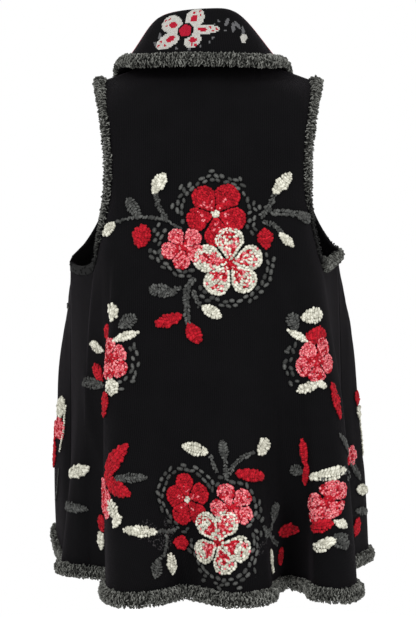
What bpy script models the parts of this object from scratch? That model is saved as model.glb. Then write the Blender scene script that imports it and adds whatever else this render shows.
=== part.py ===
"""Sleeveless swing gilet in thick knitted wool, kept in the hollow form that a wearer gives it.

The wearer faces -Y, +X is the wearer's left and +Z is up. The origin is at the middle of the
base of the neck, between the two shoulder seams, where the shoulders carry it.
"""

import bpy
import numpy as np
from mathutils import Vector
from mathutils.bvhtree import BVHTree

MM = 0.001

# Driving sizes of the garment, in metres
WALL = 0.0026  # thick knitted wool
SEAM_GAP = 0.0003  # between two panels that are sewn together
SEAT_GAP = 0.0010  # between a panel and the pile edging that lies on it
SHOULDER_HALF = 0.203  # middle of the neck to the end of the shoulder seam
SHOULDER_DROP = 0.014  # end of the shoulder seam below the origin
NECK_RISE = 0.028  # inner end of the shoulder seam above the origin
NECK_DEPTH = 0.062  # how far the back neckline lies behind the shoulder seam
NECK_DIP = 0.018  # how far the back neckline lies below it
ARMHOLE_DEPTH = 0.345  # depth at which the panels join under the arm
RIB_DEPTH = 0.43  # depth at which the fronts have swung out under the arms
RIB_SWING = 0.28  # how much of their flare they have gained there, over an even one
MID_DEPTH = 0.62  # depth of the middle section, about at the hips
HEM_DEPTH = 0.918  # depth of the lower edge of the cloth
BREAK_DEPTH = 0.43  # depth at which the lapels end
CHEST_ROUNDNESS = 1.15  # how late the chest swells out from the armhole and the neckline
CAMBER = 1.3  # how the strips of the back crowd together towards the armholes
BACK_SQUARENESS = 4.5  # how late the back turns towards the sides

# Mesh strips
CENTRE_STRIPS = 46  # across the back between the armholes
SHOULDER_STRIPS = 15  # of these, over each shoulder
SIDE_STRIPS = 7  # under each arm, from the armhole's back edge to the side seam
FRONT_STRIPS = 13  # across each front
COLLAR_STRIPS = 8  # across the collar, from the neckline to its free edge
UPPER_ROWS = 14  # from the shoulder to the underarm
LOWER_ROWS = 20  # from the underarm to the hem
ROW_CROWDING = 1.25  # rows are closer together near the shoulder

# Yarn flowers that stand out from the back, with + across towards the wearer's left
FLOWER_RISE = 0.0045
BACK_FLOWERS = (
    # across from the middle, depth, radius
    (-0.012, 0.258, 0.055),
    (0.043, 0.319, 0.039),
    (-0.037, 0.347, 0.060),
    (0.174, 0.516, 0.036),
    (-0.191, 0.520, 0.038),
    (0.050, 0.749, 0.047),
    (-0.031, 0.757, 0.038),
    (-0.006, 0.823, 0.056),
    (0.208, 0.757, 0.035),
    (-0.252, 0.755, 0.038),
)

# Upper sections of the back: depth, then the armhole edge, then the middle of the back
BACK_SECTIONS = (
    # depth, edge_x, edge_y, edge_z, middle_y, middle_z
    (0.050, 0.187, 0.042, -0.060, 0.094, -0.040),
    (0.105, 0.179, 0.063, -0.111, 0.111, -0.101),
    (0.160, 0.174, 0.068, -0.166, 0.117, -0.163),
    (0.220, 0.176, 0.059, -0.222, 0.120, -0.220),
    (0.275, 0.186, 0.046, -0.275, 0.1215, -0.275),
    (0.345, 0.199, 0.038, -0.328, 0.1225, -0.345),
)

# Folds of the back between the armhole edges, at the hips and at the hem
BACK_FOLDS = (
    # place on the back from +1 to -1, mid_x, mid_y, hem_x, hem_y
    (1.000, 0.222, 0.000, 0.215, -0.040),
    (0.930, 0.199, 0.022, 0.184, -0.018),
    (0.813, 0.173, 0.058, 0.160, 0.038),
    (0.641, 0.180, 0.114, 0.176, 0.120),
    (0.530, 0.159, 0.143, 0.165, 0.184),
    (0.420, 0.130, 0.153, 0.133, 0.222),
    (0.313, 0.092, 0.152, 0.085, 0.200),
    (0.173, 0.048, 0.142, 0.038, 0.146),
    (0.044, 0.008, 0.150, -0.008, 0.190),
    (-0.054, -0.024, 0.157, -0.046, 0.222),
    (-0.190, -0.068, 0.157, -0.102, 0.186),
    (-0.339, -0.106, 0.140, -0.113, 0.110),
    (-0.463, -0.132, 0.121, -0.141, 0.054),
    (-0.582, -0.160, 0.125, -0.176, 0.098),
    (-0.690, -0.184, 0.133, -0.184, 0.156),
    (-0.789, -0.212, 0.125, -0.221, 0.188),
    (-0.912, -0.236, 0.088, -0.257, 0.138),
    (-1.000, -0.237, 0.055, -0.251, 0.088),
)

# Under the arms, from the armhole's back edge to the side seam
SIDE_FOLDS = {
    "left": (
        # share, chest_x, chest_y, chest_z, mid_x, mid_y, hem_x, hem_y
        (0.30, 0.212, 0.018, -0.344, 0.233, -0.016, 0.246, -0.050),
        (0.65, 0.236, -0.022, -0.345, 0.244, -0.038, 0.278, -0.088),
        (1.00, 0.256, -0.062, -0.336, 0.256, -0.080, 0.264, -0.128),
    ),
    "right": (
        (0.30, -0.209, 0.016, -0.338, -0.230, 0.018, -0.240, 0.030),
        (0.65, -0.224, -0.024, -0.328, -0.232, -0.020, -0.236, -0.038),
        (1.00, -0.241, -0.062, -0.315, -0.249, -0.066, -0.258, -0.098),
    ),
}

# Upper sections of each front: depth, armhole edge, neckline edge, and the chest's fullness
FRONT_SECTIONS = (
    # depth, arm_x, arm_y, arm_z, neck_x, neck_y, neck_z, fullness
    (0.050, 0.195, -0.030, -0.064, 0.083, -0.040, -0.052, 0.008),
    (0.105, 0.185, -0.055, -0.112, 0.077, -0.078, -0.108, 0.016),
    (0.160, 0.180, -0.073, -0.166, 0.067, -0.106, -0.163, 0.026),
    (0.220, 0.190, -0.087, -0.220, 0.055, -0.127, -0.222, 0.034),
    (0.275, 0.210, -0.086, -0.268, 0.044, -0.142, -0.276, 0.041),
    (0.315, 0.232, -0.078, -0.304, 0.037, -0.149, -0.315, 0.044),
)

# Each front below the underarm, from the side seam to the front edge
FRONT_FOLDS = {
    "left": (
        # share, chest_x, chest_y, chest_z, mid_x, mid_y, hem_x, hem_y, hem_z
        (0.16, 0.250, -0.104, -0.342, 0.276, -0.108, 0.286, -0.176, -0.905),
        (0.34, 0.212, -0.128, -0.346, 0.291, -0.156, 0.298, -0.236, -0.868),
        (0.50, 0.158, -0.151, -0.348, 0.250, -0.190, 0.258, -0.264, -0.862),
        (0.66, 0.109, -0.160, -0.348, 0.188, -0.192, 0.206, -0.230, -0.858),
        (0.83, 0.068, -0.161, -0.348, 0.117, -0.206, 0.146, -0.262, -0.856),
        (1.00, 0.033, -0.153, -0.348, 0.060, -0.192, 0.090, -0.238, -0.855),
    ),
    "right": (
        (0.16, -0.240, -0.100, -0.334, -0.272, -0.100, -0.292, -0.150, -0.915),
        (0.34, -0.212, -0.128, -0.342, -0.288, -0.146, -0.314, -0.208, -0.911),
        (0.50, -0.158, -0.151, -0.347, -0.245, -0.186, -0.266, -0.252, -0.903),
        (0.66, -0.109, -0.160, -0.348, -0.188, -0.190, -0.210, -0.224, -0.894),
        (0.83, -0.068, -0.161, -0.348, -0.118, -0.205, -0.148, -0.258, -0.886),
        (1.00, -0.033, -0.153, -0.348, -0.060, -0.192, -0.092, -0.238, -0.880),
    ),
}

# The shawl collar from the left lapel's end round the neck to the right one's: its rolled
# fold and its free edge
COLLAR_SECTIONS = (
    # share of the neckline, roll_x, roll_y, roll_z, edge_x, edge_y, edge_z
    (0.00, 0.030, -0.176, -0.428, 0.052, -0.183, -0.440),
    (0.12, 0.036, -0.184, -0.300, 0.104, -0.188, -0.330),
    (0.24, 0.064, -0.160, -0.150, 0.146, -0.142, -0.185),
    (0.34, 0.102, -0.092, -0.004, 0.160, -0.082, -0.056),
    (0.405, 0.111, -0.012, 0.066, 0.161, 0.002, 0.014),
    (0.45, 0.084, 0.054, 0.096, 0.119, 0.078, 0.004),
    (0.50, 0.000, 0.088, 0.103, 0.000, 0.112, 0.001),
    (0.55, -0.053, 0.064, 0.098, -0.105, 0.080, 0.003),
    (0.595, -0.087, -0.008, 0.060, -0.143, 0.002, 0.012),
    (0.66, -0.092, -0.092, -0.010, -0.149, -0.082, -0.060),
    (0.76, -0.062, -0.160, -0.152, -0.144, -0.142, -0.187),
    (0.88, -0.036, -0.184, -0.300, -0.104, -0.188, -0.330),
    (1.00, -0.030, -0.176, -0.428, -0.052, -0.183, -0.440),
)
COLLAR_START = 0.0016  # from the neckline to the collar's own seam edge
ROLL_RADIUS = 0.015

# Cross-section of the pile edging: distance in from the cloth's edge and height over the cloth
PILE_SECTION = (
    # inwards, height
    (-0.0035, 0.0000),
    (0.0100, 0.0000),
    (0.0230, 0.0000),
    (0.0215, 0.0085),
    (0.0070, 0.0115),
    (-0.0055, 0.0060),
)

COLOURS = {
    # name: red, green, blue
    "black_wool": (0.012, 0.011, 0.013),
    "grey_pile": (0.115, 0.115, 0.108),
}


def clear_scene():
    """Empties the scene."""
    for thing in list(bpy.data.objects):
        bpy.data.objects.remove(thing)


def material(name):
    """A matt wool material of the named colour."""
    made = bpy.data.materials.get(name)
    if made is None:
        made = bpy.data.materials.new(name)
        made.use_nodes = True
        shader = made.node_tree.nodes["Principled BSDF"]
        shader.inputs["Base Color"].default_value = (*COLOURS[name], 1.0)
        shader.inputs["Roughness"].default_value = 0.95
        shader.inputs["Metallic"].default_value = 0.0
    return made


def through(places, values, wanted, limited=False):
    """Points of the smooth curve through values, given at rising places, read at the wanted places.

    A limited curve never swings past its own values.
    """
    places, values = np.asarray(places, float), np.asarray(values, float)
    spread = (-1,) + (1,) * (values.ndim - 1)
    steps = np.diff(places).reshape(spread)
    chords = np.diff(values, axis=0) / steps
    slopes = np.empty_like(values)
    slopes[1:-1] = (steps[1:] * chords[:-1] + steps[:-1] * chords[1:]) / (steps[1:] + steps[:-1])
    slopes[0] = 1.5 * chords[0] - 0.5 * slopes[1]
    slopes[-1] = 1.5 * chords[-1] - 0.5 * slopes[-2]
    if limited:
        before = np.concatenate([chords[:1], chords])
        after = np.concatenate([chords, chords[-1:]])
        least = 2.5 * np.minimum(np.abs(before), np.abs(after))
        slopes = np.where(before * after > 0, np.clip(slopes, -least, least), 0)
    wanted = np.asarray(wanted, float)
    low = np.clip(np.searchsorted(places, wanted, side="right") - 1, 0, len(places) - 2)
    step = (places[low + 1] - places[low]).reshape(spread)
    t = ((wanted - places[low]) / (places[low + 1] - places[low])).reshape(spread)
    start = (2 * t**3 - 3 * t**2 + 1) * values[low] + (t**3 - 2 * t**2 + t) * step * slopes[low]
    end = (3 * t**2 - 2 * t**3) * values[low + 1] + (t**3 - t**2) * step * slopes[low + 1]
    return start + end


def row_depths(upper=UPPER_ROWS, lower=LOWER_ROWS):
    """Depths of the mesh rows, crowded at the shoulder and even below the underarm."""
    shares = np.linspace(0, 1, upper + 1) ** ROW_CROWDING
    below = np.linspace(ARMHOLE_DEPTH, HEM_DEPTH, lower + 1)
    return np.concatenate([shares * ARMHOLE_DEPTH, below[1:]])


def across_share(place):
    """Share of the half width at a place from 0, the middle of the back, to 1, the armhole edge."""
    return 1 - (1 - np.abs(place)) ** CAMBER


NECK_PLACE = 1 - SHOULDER_STRIPS / (CENTRE_STRIPS / 2)
NECK_HALF = SHOULDER_HALF * float(across_share(NECK_PLACE))


def top_edge(places):
    """Upper edge of the back: shoulder seam, back neckline, shoulder seam."""
    x = SHOULDER_HALF * across_share(places)
    down_shoulder = np.clip((x - NECK_HALF) / (SHOULDER_HALF - NECK_HALF), 0, 1)
    in_neck = np.clip(1 - (x / NECK_HALF) ** 2.2, 0, 1) ** 0.85
    y = NECK_DEPTH * in_neck
    z = NECK_RISE - (NECK_RISE + SHOULDER_DROP) * down_shoulder - NECK_DIP * in_neck
    return np.stack([np.sign(places) * x, y, z], axis=1)


def back_section(places, edge, middle_y, middle_z):
    """One section across the back between its armhole edges."""
    edge_x, edge_y, edge_z = edge
    x = np.sign(places) * edge_x * across_share(places)
    y = middle_y + (edge_y - middle_y) * np.abs(places) ** BACK_SQUARENESS
    z = middle_z + (edge_z - middle_z) * np.abs(places) ** 2
    return np.stack([x, y, z], axis=1)


def back_grid(centre=CENTRE_STRIPS, side=SIDE_STRIPS, depths=None):
    """Points of the back, rows by strips from the left side seam to the right one.

    The strips under the arms exist only below the underarm: above it their points are NaN.
    """
    depths = row_depths() if depths is None else depths
    places = np.linspace(1, -1, centre + 1)
    levels, sections = [0.0], [top_edge(places)]
    for depth, edge_x, edge_y, edge_z, middle_y, middle_z in BACK_SECTIONS:
        levels.append(depth)
        sections.append(back_section(places, (edge_x, edge_y, edge_z), middle_y, middle_z))
    folds = np.array(BACK_FOLDS)[::-1]
    mid = through(folds[:, 0], folds[:, 1:3], places)
    hem = through(folds[:, 0], folds[:, 3:5], places)
    levels += [MID_DEPTH, HEM_DEPTH]
    sections.append(np.column_stack([mid, np.full(len(places), -MID_DEPTH)]))
    sections.append(np.column_stack([hem, np.full(len(places), -HEM_DEPTH)]))
    middle = through(levels, np.array(sections), depths, True)

    lower = depths >= ARMHOLE_DEPTH - 1e-9
    sides = {}
    for name, column in (("left", 0), ("right", -1)):
        rows = np.array(SIDE_FOLDS[name])
        shares = np.concatenate([[0], rows[:, 0]])
        edge = np.array(sections)[-3:, column]
        wanted = np.linspace(0, 1, side + 1)[1:]
        chest = through(shares, np.vstack([edge[0], rows[:, 1:4]]), wanted)
        at_mid = through(shares, np.vstack([edge[1, :2], rows[:, 4:6]]), wanted)
        at_hem = through(shares, np.vstack([edge[2, :2], rows[:, 6:8]]), wanted)
        at_mid = np.column_stack([at_mid, np.full(side, -MID_DEPTH)])
        at_hem = np.column_stack([at_hem, np.full(side, -HEM_DEPTH)])
        points = np.full((len(depths), side, 3), np.nan)
        stack = np.array([chest, at_mid, at_hem])
        points[lower] = through([ARMHOLE_DEPTH, MID_DEPTH, HEM_DEPTH], stack, depths[lower])
        sides[name] = points
    return np.concatenate([sides["left"][:, ::-1], middle, sides["right"]], axis=1)


def front_grid(name, strips=FRONT_STRIPS, depths=None):
    """Points of one front, rows by strips from the armhole and side seam to the front edge."""
    depths = row_depths() if depths is None else depths
    hand = 1 if name == "left" else -1
    shares = np.linspace(0, 1, strips + 1)
    tip = np.array([SHOULDER_HALF, 0, -SHOULDER_DROP])
    neck_point = np.array([NECK_HALF, 0, NECK_RISE])
    levels, sections = [0.0], [tip + (neck_point - tip) * shares[:, None]]
    for depth, arm_x, arm_y, arm_z, neck_x, neck_y, neck_z, fullness in FRONT_SECTIONS:
        arm, neck = np.array([arm_x, arm_y, arm_z]), np.array([neck_x, neck_y, neck_z])
        row = arm + (neck - arm) * shares[:, None]
        outwards = unit(np.array([arm_y - neck_y, neck_x - arm_x, 0.0]))
        row += outwards * fullness * ((4 * shares * (1 - shares)) ** CHEST_ROUNDNESS)[:, None]
        levels.append(depth)
        sections.append(row)
    for section in sections:
        section[:, 0] *= hand
    rows = np.array(FRONT_FOLDS[name])
    seam = np.array(SIDE_FOLDS[name][-1])
    places = np.concatenate([[0], rows[:, 0]])
    chest = through(places, np.vstack([seam[1:4], rows[:, 1:4]]), shares)
    mid = through(places, np.vstack([seam[4:6], rows[:, 4:6]]), shares)
    hem_seam = np.append(seam[6:8], -HEM_DEPTH)
    hem = through(places, np.vstack([hem_seam, rows[:, 6:9]]), shares)
    mid = np.column_stack([mid, np.full(strips + 1, -MID_DEPTH)])
    # Below the arm a front swings out sooner than its side seam does
    rib_share = (RIB_DEPTH - ARMHOLE_DEPTH) / (MID_DEPTH - ARMHOLE_DEPTH)
    swing = rib_share + RIB_SWING * np.clip(shares / 0.16, 0, 1)
    ribs = chest + (mid - chest) * swing[:, None]
    ribs[:, 2] = chest[:, 2] + (mid - chest)[:, 2] * rib_share
    levels += [ARMHOLE_DEPTH, RIB_DEPTH, MID_DEPTH, HEM_DEPTH]
    sections += [chest, ribs, mid, hem]
    grid = through(levels, np.array(sections), depths, True)
    # The side seam has the back's own points
    lower = depths >= ARMHOLE_DEPTH - 1e-9
    seam_points = np.array([seam[1:4], np.append(seam[4:6], -MID_DEPTH), hem_seam])
    own = through([ARMHOLE_DEPTH, MID_DEPTH, HEM_DEPTH], seam_points, depths[lower])
    fade = np.clip(1 - shares / 0.3, 0, 1)[None, :, None] ** 2
    grid[lower] += (own - grid[lower][:, 0])[:, None] * fade
    return grid


def step_along(grid, axis):
    """Direction of the grid along an axis, from the neighbours that exist on either side."""
    ahead = np.roll(grid, -1, axis)
    behind = np.roll(grid, 1, axis)
    last = [slice(None)] * 3
    first = [slice(None)] * 3
    last[axis], first[axis] = -1, 0
    ahead[tuple(last)] = np.nan
    behind[tuple(first)] = np.nan
    ahead = np.where(np.isnan(ahead), grid, ahead)
    behind = np.where(np.isnan(behind), grid, behind)
    return ahead - behind


def normals_of(grid, outward):
    """Unit normals of a grid of points. outward is +1 where strips x rows points outwards."""
    normal = np.cross(step_along(grid, 1), step_along(grid, 0)) * outward
    return normal / np.linalg.norm(normal, axis=2, keepdims=True)


def shoulder_normal(hand):
    """Normal of the cloth along the shoulder seam, square to it and upright."""
    run = SHOULDER_HALF - NECK_HALF
    fall = NECK_RISE + SHOULDER_DROP
    return unit(np.array([hand * fall, 0.0, run]))


def closed_mesh(name, points, faces):
    """A smooth-shaded mesh with its faces turned outwards."""
    mesh = bpy.data.meshes.new(name)
    mesh.from_pydata([tuple(p) for p in points], [], faces)
    volume = 0.0
    for face in faces:
        corners = [Vector(points[k]) for k in face]
        for a, b in zip(corners[1:], corners[2:]):
            volume += corners[0].dot(a.cross(b))
    if volume < 0:
        mesh.flip_normals()
    mesh.shade_smooth()
    return mesh


def wall_mesh(name, outer, inner):
    """A closed wall between two grids of points. Cells with a NaN corner are left out."""
    rows, columns = outer.shape[:2]
    there = ~np.isnan(outer[..., 0])
    numbers = np.full((rows, columns), -1)
    numbers[there] = np.arange(there.sum())
    count = int(there.sum())
    points = np.concatenate([outer[there], inner[there]])
    faces, edges = [], set()
    for i in range(rows - 1):
        for j in range(columns - 1):
            corners = [numbers[i, j], numbers[i, j + 1], numbers[i + 1, j + 1], numbers[i + 1, j]]
            if min(corners) < 0:
                continue
            corners = [int(c) for c in corners]
            faces.append(corners)
            faces.append([c + count for c in reversed(corners)])
            for a, b in zip(corners, corners[1:] + corners[:1]):
                if (b, a) in edges:
                    edges.remove((b, a))
                else:
                    edges.add((a, b))
    for a, b in sorted(edges):
        faces.append([b, a, a + count, b + count])
    return closed_mesh(name, points, faces)


def tube_mesh(name, rings, closed):
    """A closed tube through rings of points, capped at its ends unless it runs round on itself."""
    count, sides = rings.shape[:2]
    faces = []
    for i in range(count if closed else count - 1):
        k = (i + 1) % count
        for j in range(sides):
            m = (j + 1) % sides
            faces.append([i * sides + j, i * sides + m, k * sides + m, k * sides + j])
    if not closed:
        faces.append(list(range(sides))[::-1])
        faces.append([(count - 1) * sides + j for j in range(sides)])
    return closed_mesh(name, rings.reshape(-1, 3), faces)


def add_object(name, mesh, colour):
    """Links a mesh into the scene as a named piece with its material."""
    mesh.materials.append(material(colour))
    made = bpy.data.objects.new(name, mesh)
    bpy.context.scene.collection.objects.link(made)
    return made


def surface_tree(*panels):
    """A search tree over the outer faces of panels, each given as its points and its outward sign."""
    points, faces = [], []
    for outer, outward in panels:
        rows, columns = outer.shape[:2]
        there = ~np.isnan(outer[..., 0])
        for i in range(rows - 1):
            for j in range(columns - 1):
                if there[i : i + 2, j : j + 2].all():
                    k = len(points) + i * columns + j
                    cell = [(k, k + 1, k + columns + 1), (k, k + columns + 1, k + columns)]
                    faces += cell if outward > 0 else [c[::-1] for c in cell]
        points += np.where(there[..., None], outer, 0).reshape(-1, 3).tolist()
    return BVHTree.FromPolygons([Vector(p) for p in points], faces)


def pile_rings(edge, inward, normal, tree, closed):
    """Rings of the pile edging: its cross-section set on the cloth at each point of an edge."""
    rings = []
    for at, way, up in zip(edge, inward, normal):
        ring = []
        for distance, height in PILE_SECTION:
            spot = Vector(at + way * distance + up * WALL / 2)
            if distance > 0:
                spot = tree.find_nearest(spot)[0]
            ring.append(spot + Vector(up) * (SEAT_GAP + height))
        rings.append([tuple(p) for p in ring])
    rings = np.array(rings)
    # Raise the rings until the underside between them is clear of the cloth everywhere
    segments = len(rings) if closed else len(rings) - 1
    for _ in range(12):
        lift = np.zeros(len(rings))
        for i in range(segments):
            k = (i + 1) % len(rings)
            for along in (0.0, 0.2, 0.35, 0.5, 0.65, 0.8):
                under = rings[i, :3] * (1 - along) + rings[k, :3] * along
                for across in (0.15, 0.4, 0.7, 1.0, 1.5, 2.0):
                    low = min(int(across), 1)
                    spot = Vector(under[low] + (under[low + 1] - under[low]) * (across - low))
                    found, face_normal = tree.find_nearest(spot)[:2]
                    short = SEAT_GAP - (spot - found).dot(face_normal)
                    lift[i], lift[k] = max(lift[i], short), max(lift[k], short)
        if lift.max() < 0.00002:
            break
        rings += (lift[:, None] * normal)[:, None]
    return rings


def unit(vectors):
    """The same directions at length 1."""
    return vectors / np.linalg.norm(vectors, axis=-1, keepdims=True)


def smoothed(values, closed, rounds=2):
    """Values along a path, each averaged with its neighbours."""
    for _ in range(rounds):
        before, after = np.roll(values, 1, 0), np.roll(values, -1, 0)
        if not closed:
            before[0], after[-1] = values[0], values[-1]
        values = (before + 2 * values + after) / 4
    return values


def square_to_path(edge, inward, closed):
    """Inward directions made square to the path that the edge follows."""
    run = unit(np.roll(edge, -1, 0) - np.roll(edge, 1, 0))
    if not closed:
        run[0], run[-1] = unit(edge[1] - edge[0]), unit(edge[-1] - edge[-2])
    inward = inward - run * (inward * run).sum(1, keepdims=True)
    return unit(inward)


def bezier(a, b, c, d, t):
    """Points of a cubic Bezier curve."""
    t = t[:, None]
    return a * (1 - t) ** 3 + 3 * b * t * (1 - t) ** 2 + 3 * c * t**2 * (1 - t) + d * t**3


def collar_grid(neckline, away, strips=COLLAR_STRIPS):
    """Points of the collar: one row for each point of the neckline, from seam to free edge.

    away holds the directions in which the panels point beyond the neckline.
    """
    lengths = np.linalg.norm(np.diff(neckline, axis=0), axis=1)
    shares = np.concatenate([[0], np.cumsum(lengths)]) / lengths.sum()
    table = np.array(COLLAR_SECTIONS)
    rolls = through(table[:, 0], table[:, 1:4], shares)
    edges = through(table[:, 0], table[:, 4:7], shares)
    half = np.linspace(0, 1, strips // 2 + 1)
    rows = []
    for seam, onward, roll, edge in zip(neckline, away, rolls, edges):
        rise = unit(roll - seam)
        start = seam + onward * COLLAR_START
        lead = unit(onward + 0.5 * rise) * 0.35 * np.linalg.norm(roll - seam)
        outwards = (edge - seam) - rise * np.dot(edge - seam, rise)
        turn = unit(outwards) * min(ROLL_RADIUS, 0.45 * np.linalg.norm(roll - seam))
        stand = bezier(start, start + lead, roll - turn, roll, half)
        fall = bezier(roll, roll + turn, edge + (roll - edge) * 0.35, edge, half)
        rows.append(np.vstack([stand, fall[1:]]))
    return np.array(rows)


def offset_walls(grid, normal, relief=0.0):
    """Outer and inner points of a wall about a grid, the outer ones raised by the relief."""
    relief = np.broadcast_to(relief, grid.shape[:2])[..., None]
    return grid + normal * (WALL / 2 + relief), grid - normal * WALL / 2


def add_edging(name, edge, inward, normal, tree, closed):
    """Adds a strip of pile along a path of edge points.

    At an open end the strip keeps the panel's own directions, so that it meets the next one.
    """
    ends = [0, -1]
    own_inward, own_normal = inward[ends], normal[ends]
    inward = square_to_path(edge, unit(smoothed(inward, closed, 1)), closed)
    normal = unit(smoothed(normal, closed, 1))
    if not closed:
        inward[ends], normal[ends] = own_inward, own_normal
    normal = unit(normal - inward * (normal * inward).sum(1, keepdims=True))
    rings = pile_rings(edge, inward, normal, tree, closed)
    if not closed:
        rings[0] += 0.0004 * unit(edge[1] - edge[0])
        rings[-1] += 0.0004 * unit(edge[-2] - edge[-1])
    add_object(name, tube_mesh(name, rings, closed), "grey_pile")


def relief_on_back(grid, depths):
    """Height of the raised flowers over each point of the back."""
    middle = SIDE_STRIPS + CENTRE_STRIPS // 2
    lengths = np.nan_to_num(np.linalg.norm(np.diff(grid, axis=1), axis=2))
    along = np.concatenate([np.zeros((len(grid), 1)), np.cumsum(lengths, axis=1)], axis=1)
    across = along[:, middle : middle + 1] - along
    relief = np.zeros(grid.shape[:2])
    for flower_across, flower_depth, radius in BACK_FLOWERS:
        away = np.hypot(across - flower_across, depths[:, None] - flower_depth) / radius
        relief = np.maximum(relief, FLOWER_RISE * np.clip((1.15 - away) / 0.35, 0, 1))
    return relief


def make_garment():
    """Makes every piece of the gilet."""
    depths = row_depths()
    lower = depths >= ARMHOLE_DEPTH - 1e-9
    back = back_grid()
    fronts = {name: front_grid(name) for name in ("left", "right")}
    hands = {"left": 1, "right": -1}

    normals = {"back": normals_of(back, -1)}
    normals["left"] = normals_of(fronts["left"], 1)
    normals["right"] = normals_of(fronts["right"], -1)
    # Along the side seams both panels share one normal, and along the shoulders an upright one
    for name, column in (("left", 0), ("right", -1)):
        shared = unit(normals["back"][lower, column] + normals[name][lower, 0])
        normals["back"][lower, column] = shared
        normals[name][lower, 0] = shared
        normals[name][0] = shoulder_normal(hands[name])
    first = SIDE_STRIPS
    last = SIDE_STRIPS + CENTRE_STRIPS
    normals["back"][0, first : first + SHOULDER_STRIPS + 1] = shoulder_normal(1)
    normals["back"][0, last - SHOULDER_STRIPS : last + 1] = shoulder_normal(-1)

    neck_columns = slice(first + SHOULDER_STRIPS, last - SHOULDER_STRIPS + 1)
    lapel_rows = depths <= BREAK_DEPTH
    neckline, away = [], []
    for name in ("left", "right"):
        points = fronts[name][lapel_rows]
        neckline.append(points[::-1, -1] if name == "left" else points[:, -1])
        ways = unit(points[:, -1] - points[:, -2])
        away.append(ways[::-1] if name == "left" else ways)
    neckline.insert(1, back[0, neck_columns][1:-1])
    away.insert(1, unit(back[0, neck_columns] - back[1, neck_columns])[1:-1])
    neckline = np.concatenate(neckline)
    away = unit(smoothed(np.concatenate(away), False, 1))

    # Seams: each panel stops short of the line that it shares with its neighbour
    gap = SEAM_GAP / 2 + 0.00005
    for column, beside in ((0, 1), (-1, -2)):
        back[lower, column] += gap * unit(back[lower, beside] - back[lower, column])
    shoulders = list(range(first, first + SHOULDER_STRIPS + 1))
    shoulders += list(range(last - SHOULDER_STRIPS, last + 1))
    back[0, shoulders] += gap * unit(back[1, shoulders] - back[0, shoulders])
    for grid in fronts.values():
        grid[lower, 0] += gap * unit(grid[lower, 1] - grid[lower, 0])
        grid[0] += gap * unit(grid[1] - grid[0])

    relief = relief_on_back(back, depths)
    outers = {}
    outers["back"], inner = offset_walls(back, normals["back"], relief)
    add_object("back", wall_mesh("back", outers["back"], inner), "black_wool")
    for name in ("left", "right"):
        outers[name], inner = offset_walls(fronts[name], normals[name])
        mesh = wall_mesh(name, outers[name], inner)
        add_object("front_" + name, mesh, "black_wool")

    collar = collar_grid(neckline, away)
    outer, inner = offset_walls(collar, normals_of(collar, 1))
    add_object("collar", wall_mesh("collar", outer, inner), "black_wool")

    # The pile edging follows the outer faces along the armholes, the hem and the collar
    for name, column, seam in (("left", first, 0), ("right", last, -1)):
        front = fronts[name]
        if name == "left":
            under = slice(column - 1, 0, -1)
        else:
            under = slice(column + 1, -1)
        path = [back[:UPPER_ROWS, column], back[UPPER_ROWS, column : column + 1]]
        path.append(back[UPPER_ROWS, under])
        path.append(front[UPPER_ROWS:0:-1, 0])
        step = 1 if name == "left" else -1
        ways = [back[:UPPER_ROWS, column + step] - back[:UPPER_ROWS, column]]
        corner = back[UPPER_ROWS + 1, column + step] - back[UPPER_ROWS, column]
        ways.append(corner[None])
        ways.append(back[UPPER_ROWS + 1, under] - back[UPPER_ROWS, under])
        ways.append(front[UPPER_ROWS:0:-1, 1] - front[UPPER_ROWS:0:-1, 0])
        ways[-1][0] = front[UPPER_ROWS + 1, 1] - front[UPPER_ROWS, 0]
        ups = [normals["back"][:UPPER_ROWS, column], normals["back"][UPPER_ROWS, column : column + 1]]
        ups.append(normals["back"][UPPER_ROWS, under])
        ups.append(normals[name][UPPER_ROWS:0:-1, 0])
        add_edging(
            "pile_armhole_" + name,
            np.concatenate(path),
            np.concatenate([unit(w) for w in ways]),
            np.concatenate(ups),
            surface_tree((outers["back"], -1), (outers[name], hands[name])),
            True,
        )
    for name in ("back", "left", "right"):
        grid = back if name == "back" else fronts[name]
        label = "pile_hem_" + ("back" if name == "back" else "front_" + name)
        ways = unit(grid[-2] - grid[-1])
        tree = surface_tree((outers[name], hands.get(name, -1)))
        add_edging(label, grid[-1], ways, normals[name][-1], tree, False)
    ways = unit(collar[:, -2] - collar[:, -1])
    ups = normals_of(collar, 1)[:, -1]
    add_edging("pile_collar", collar[:, -1], ways, ups, surface_tree((outer, 1)), False)


def main():
    clear_scene()
    make_garment()


main()
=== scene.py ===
"""Looks of the sleeveless wool gilet: knitted cloth, looped pile edging and raised yarn flowers.

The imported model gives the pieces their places. The cloth repeats its sizes and tables with finer
strips. Places on the cloth are given by the length across a row, from the middle of the back or
from a front's side seam, and by the depth of the row, both in metres.
"""

import bpy
import numpy as np
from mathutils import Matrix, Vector
from mathutils.bvhtree import BVHTree


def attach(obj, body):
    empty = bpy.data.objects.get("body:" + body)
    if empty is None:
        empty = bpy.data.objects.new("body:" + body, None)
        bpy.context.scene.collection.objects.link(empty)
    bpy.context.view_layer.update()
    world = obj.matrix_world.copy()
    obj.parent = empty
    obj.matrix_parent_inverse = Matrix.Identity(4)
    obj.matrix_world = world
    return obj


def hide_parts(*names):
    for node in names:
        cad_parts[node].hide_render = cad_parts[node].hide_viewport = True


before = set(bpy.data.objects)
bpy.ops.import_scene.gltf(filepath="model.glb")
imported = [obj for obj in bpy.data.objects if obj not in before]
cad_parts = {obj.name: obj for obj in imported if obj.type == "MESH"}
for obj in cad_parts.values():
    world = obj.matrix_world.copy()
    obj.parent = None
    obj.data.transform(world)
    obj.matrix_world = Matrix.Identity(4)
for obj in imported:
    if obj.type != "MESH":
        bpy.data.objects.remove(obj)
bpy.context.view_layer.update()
for thing in bpy.context.selected_objects:
    thing.select_set(False)

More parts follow.
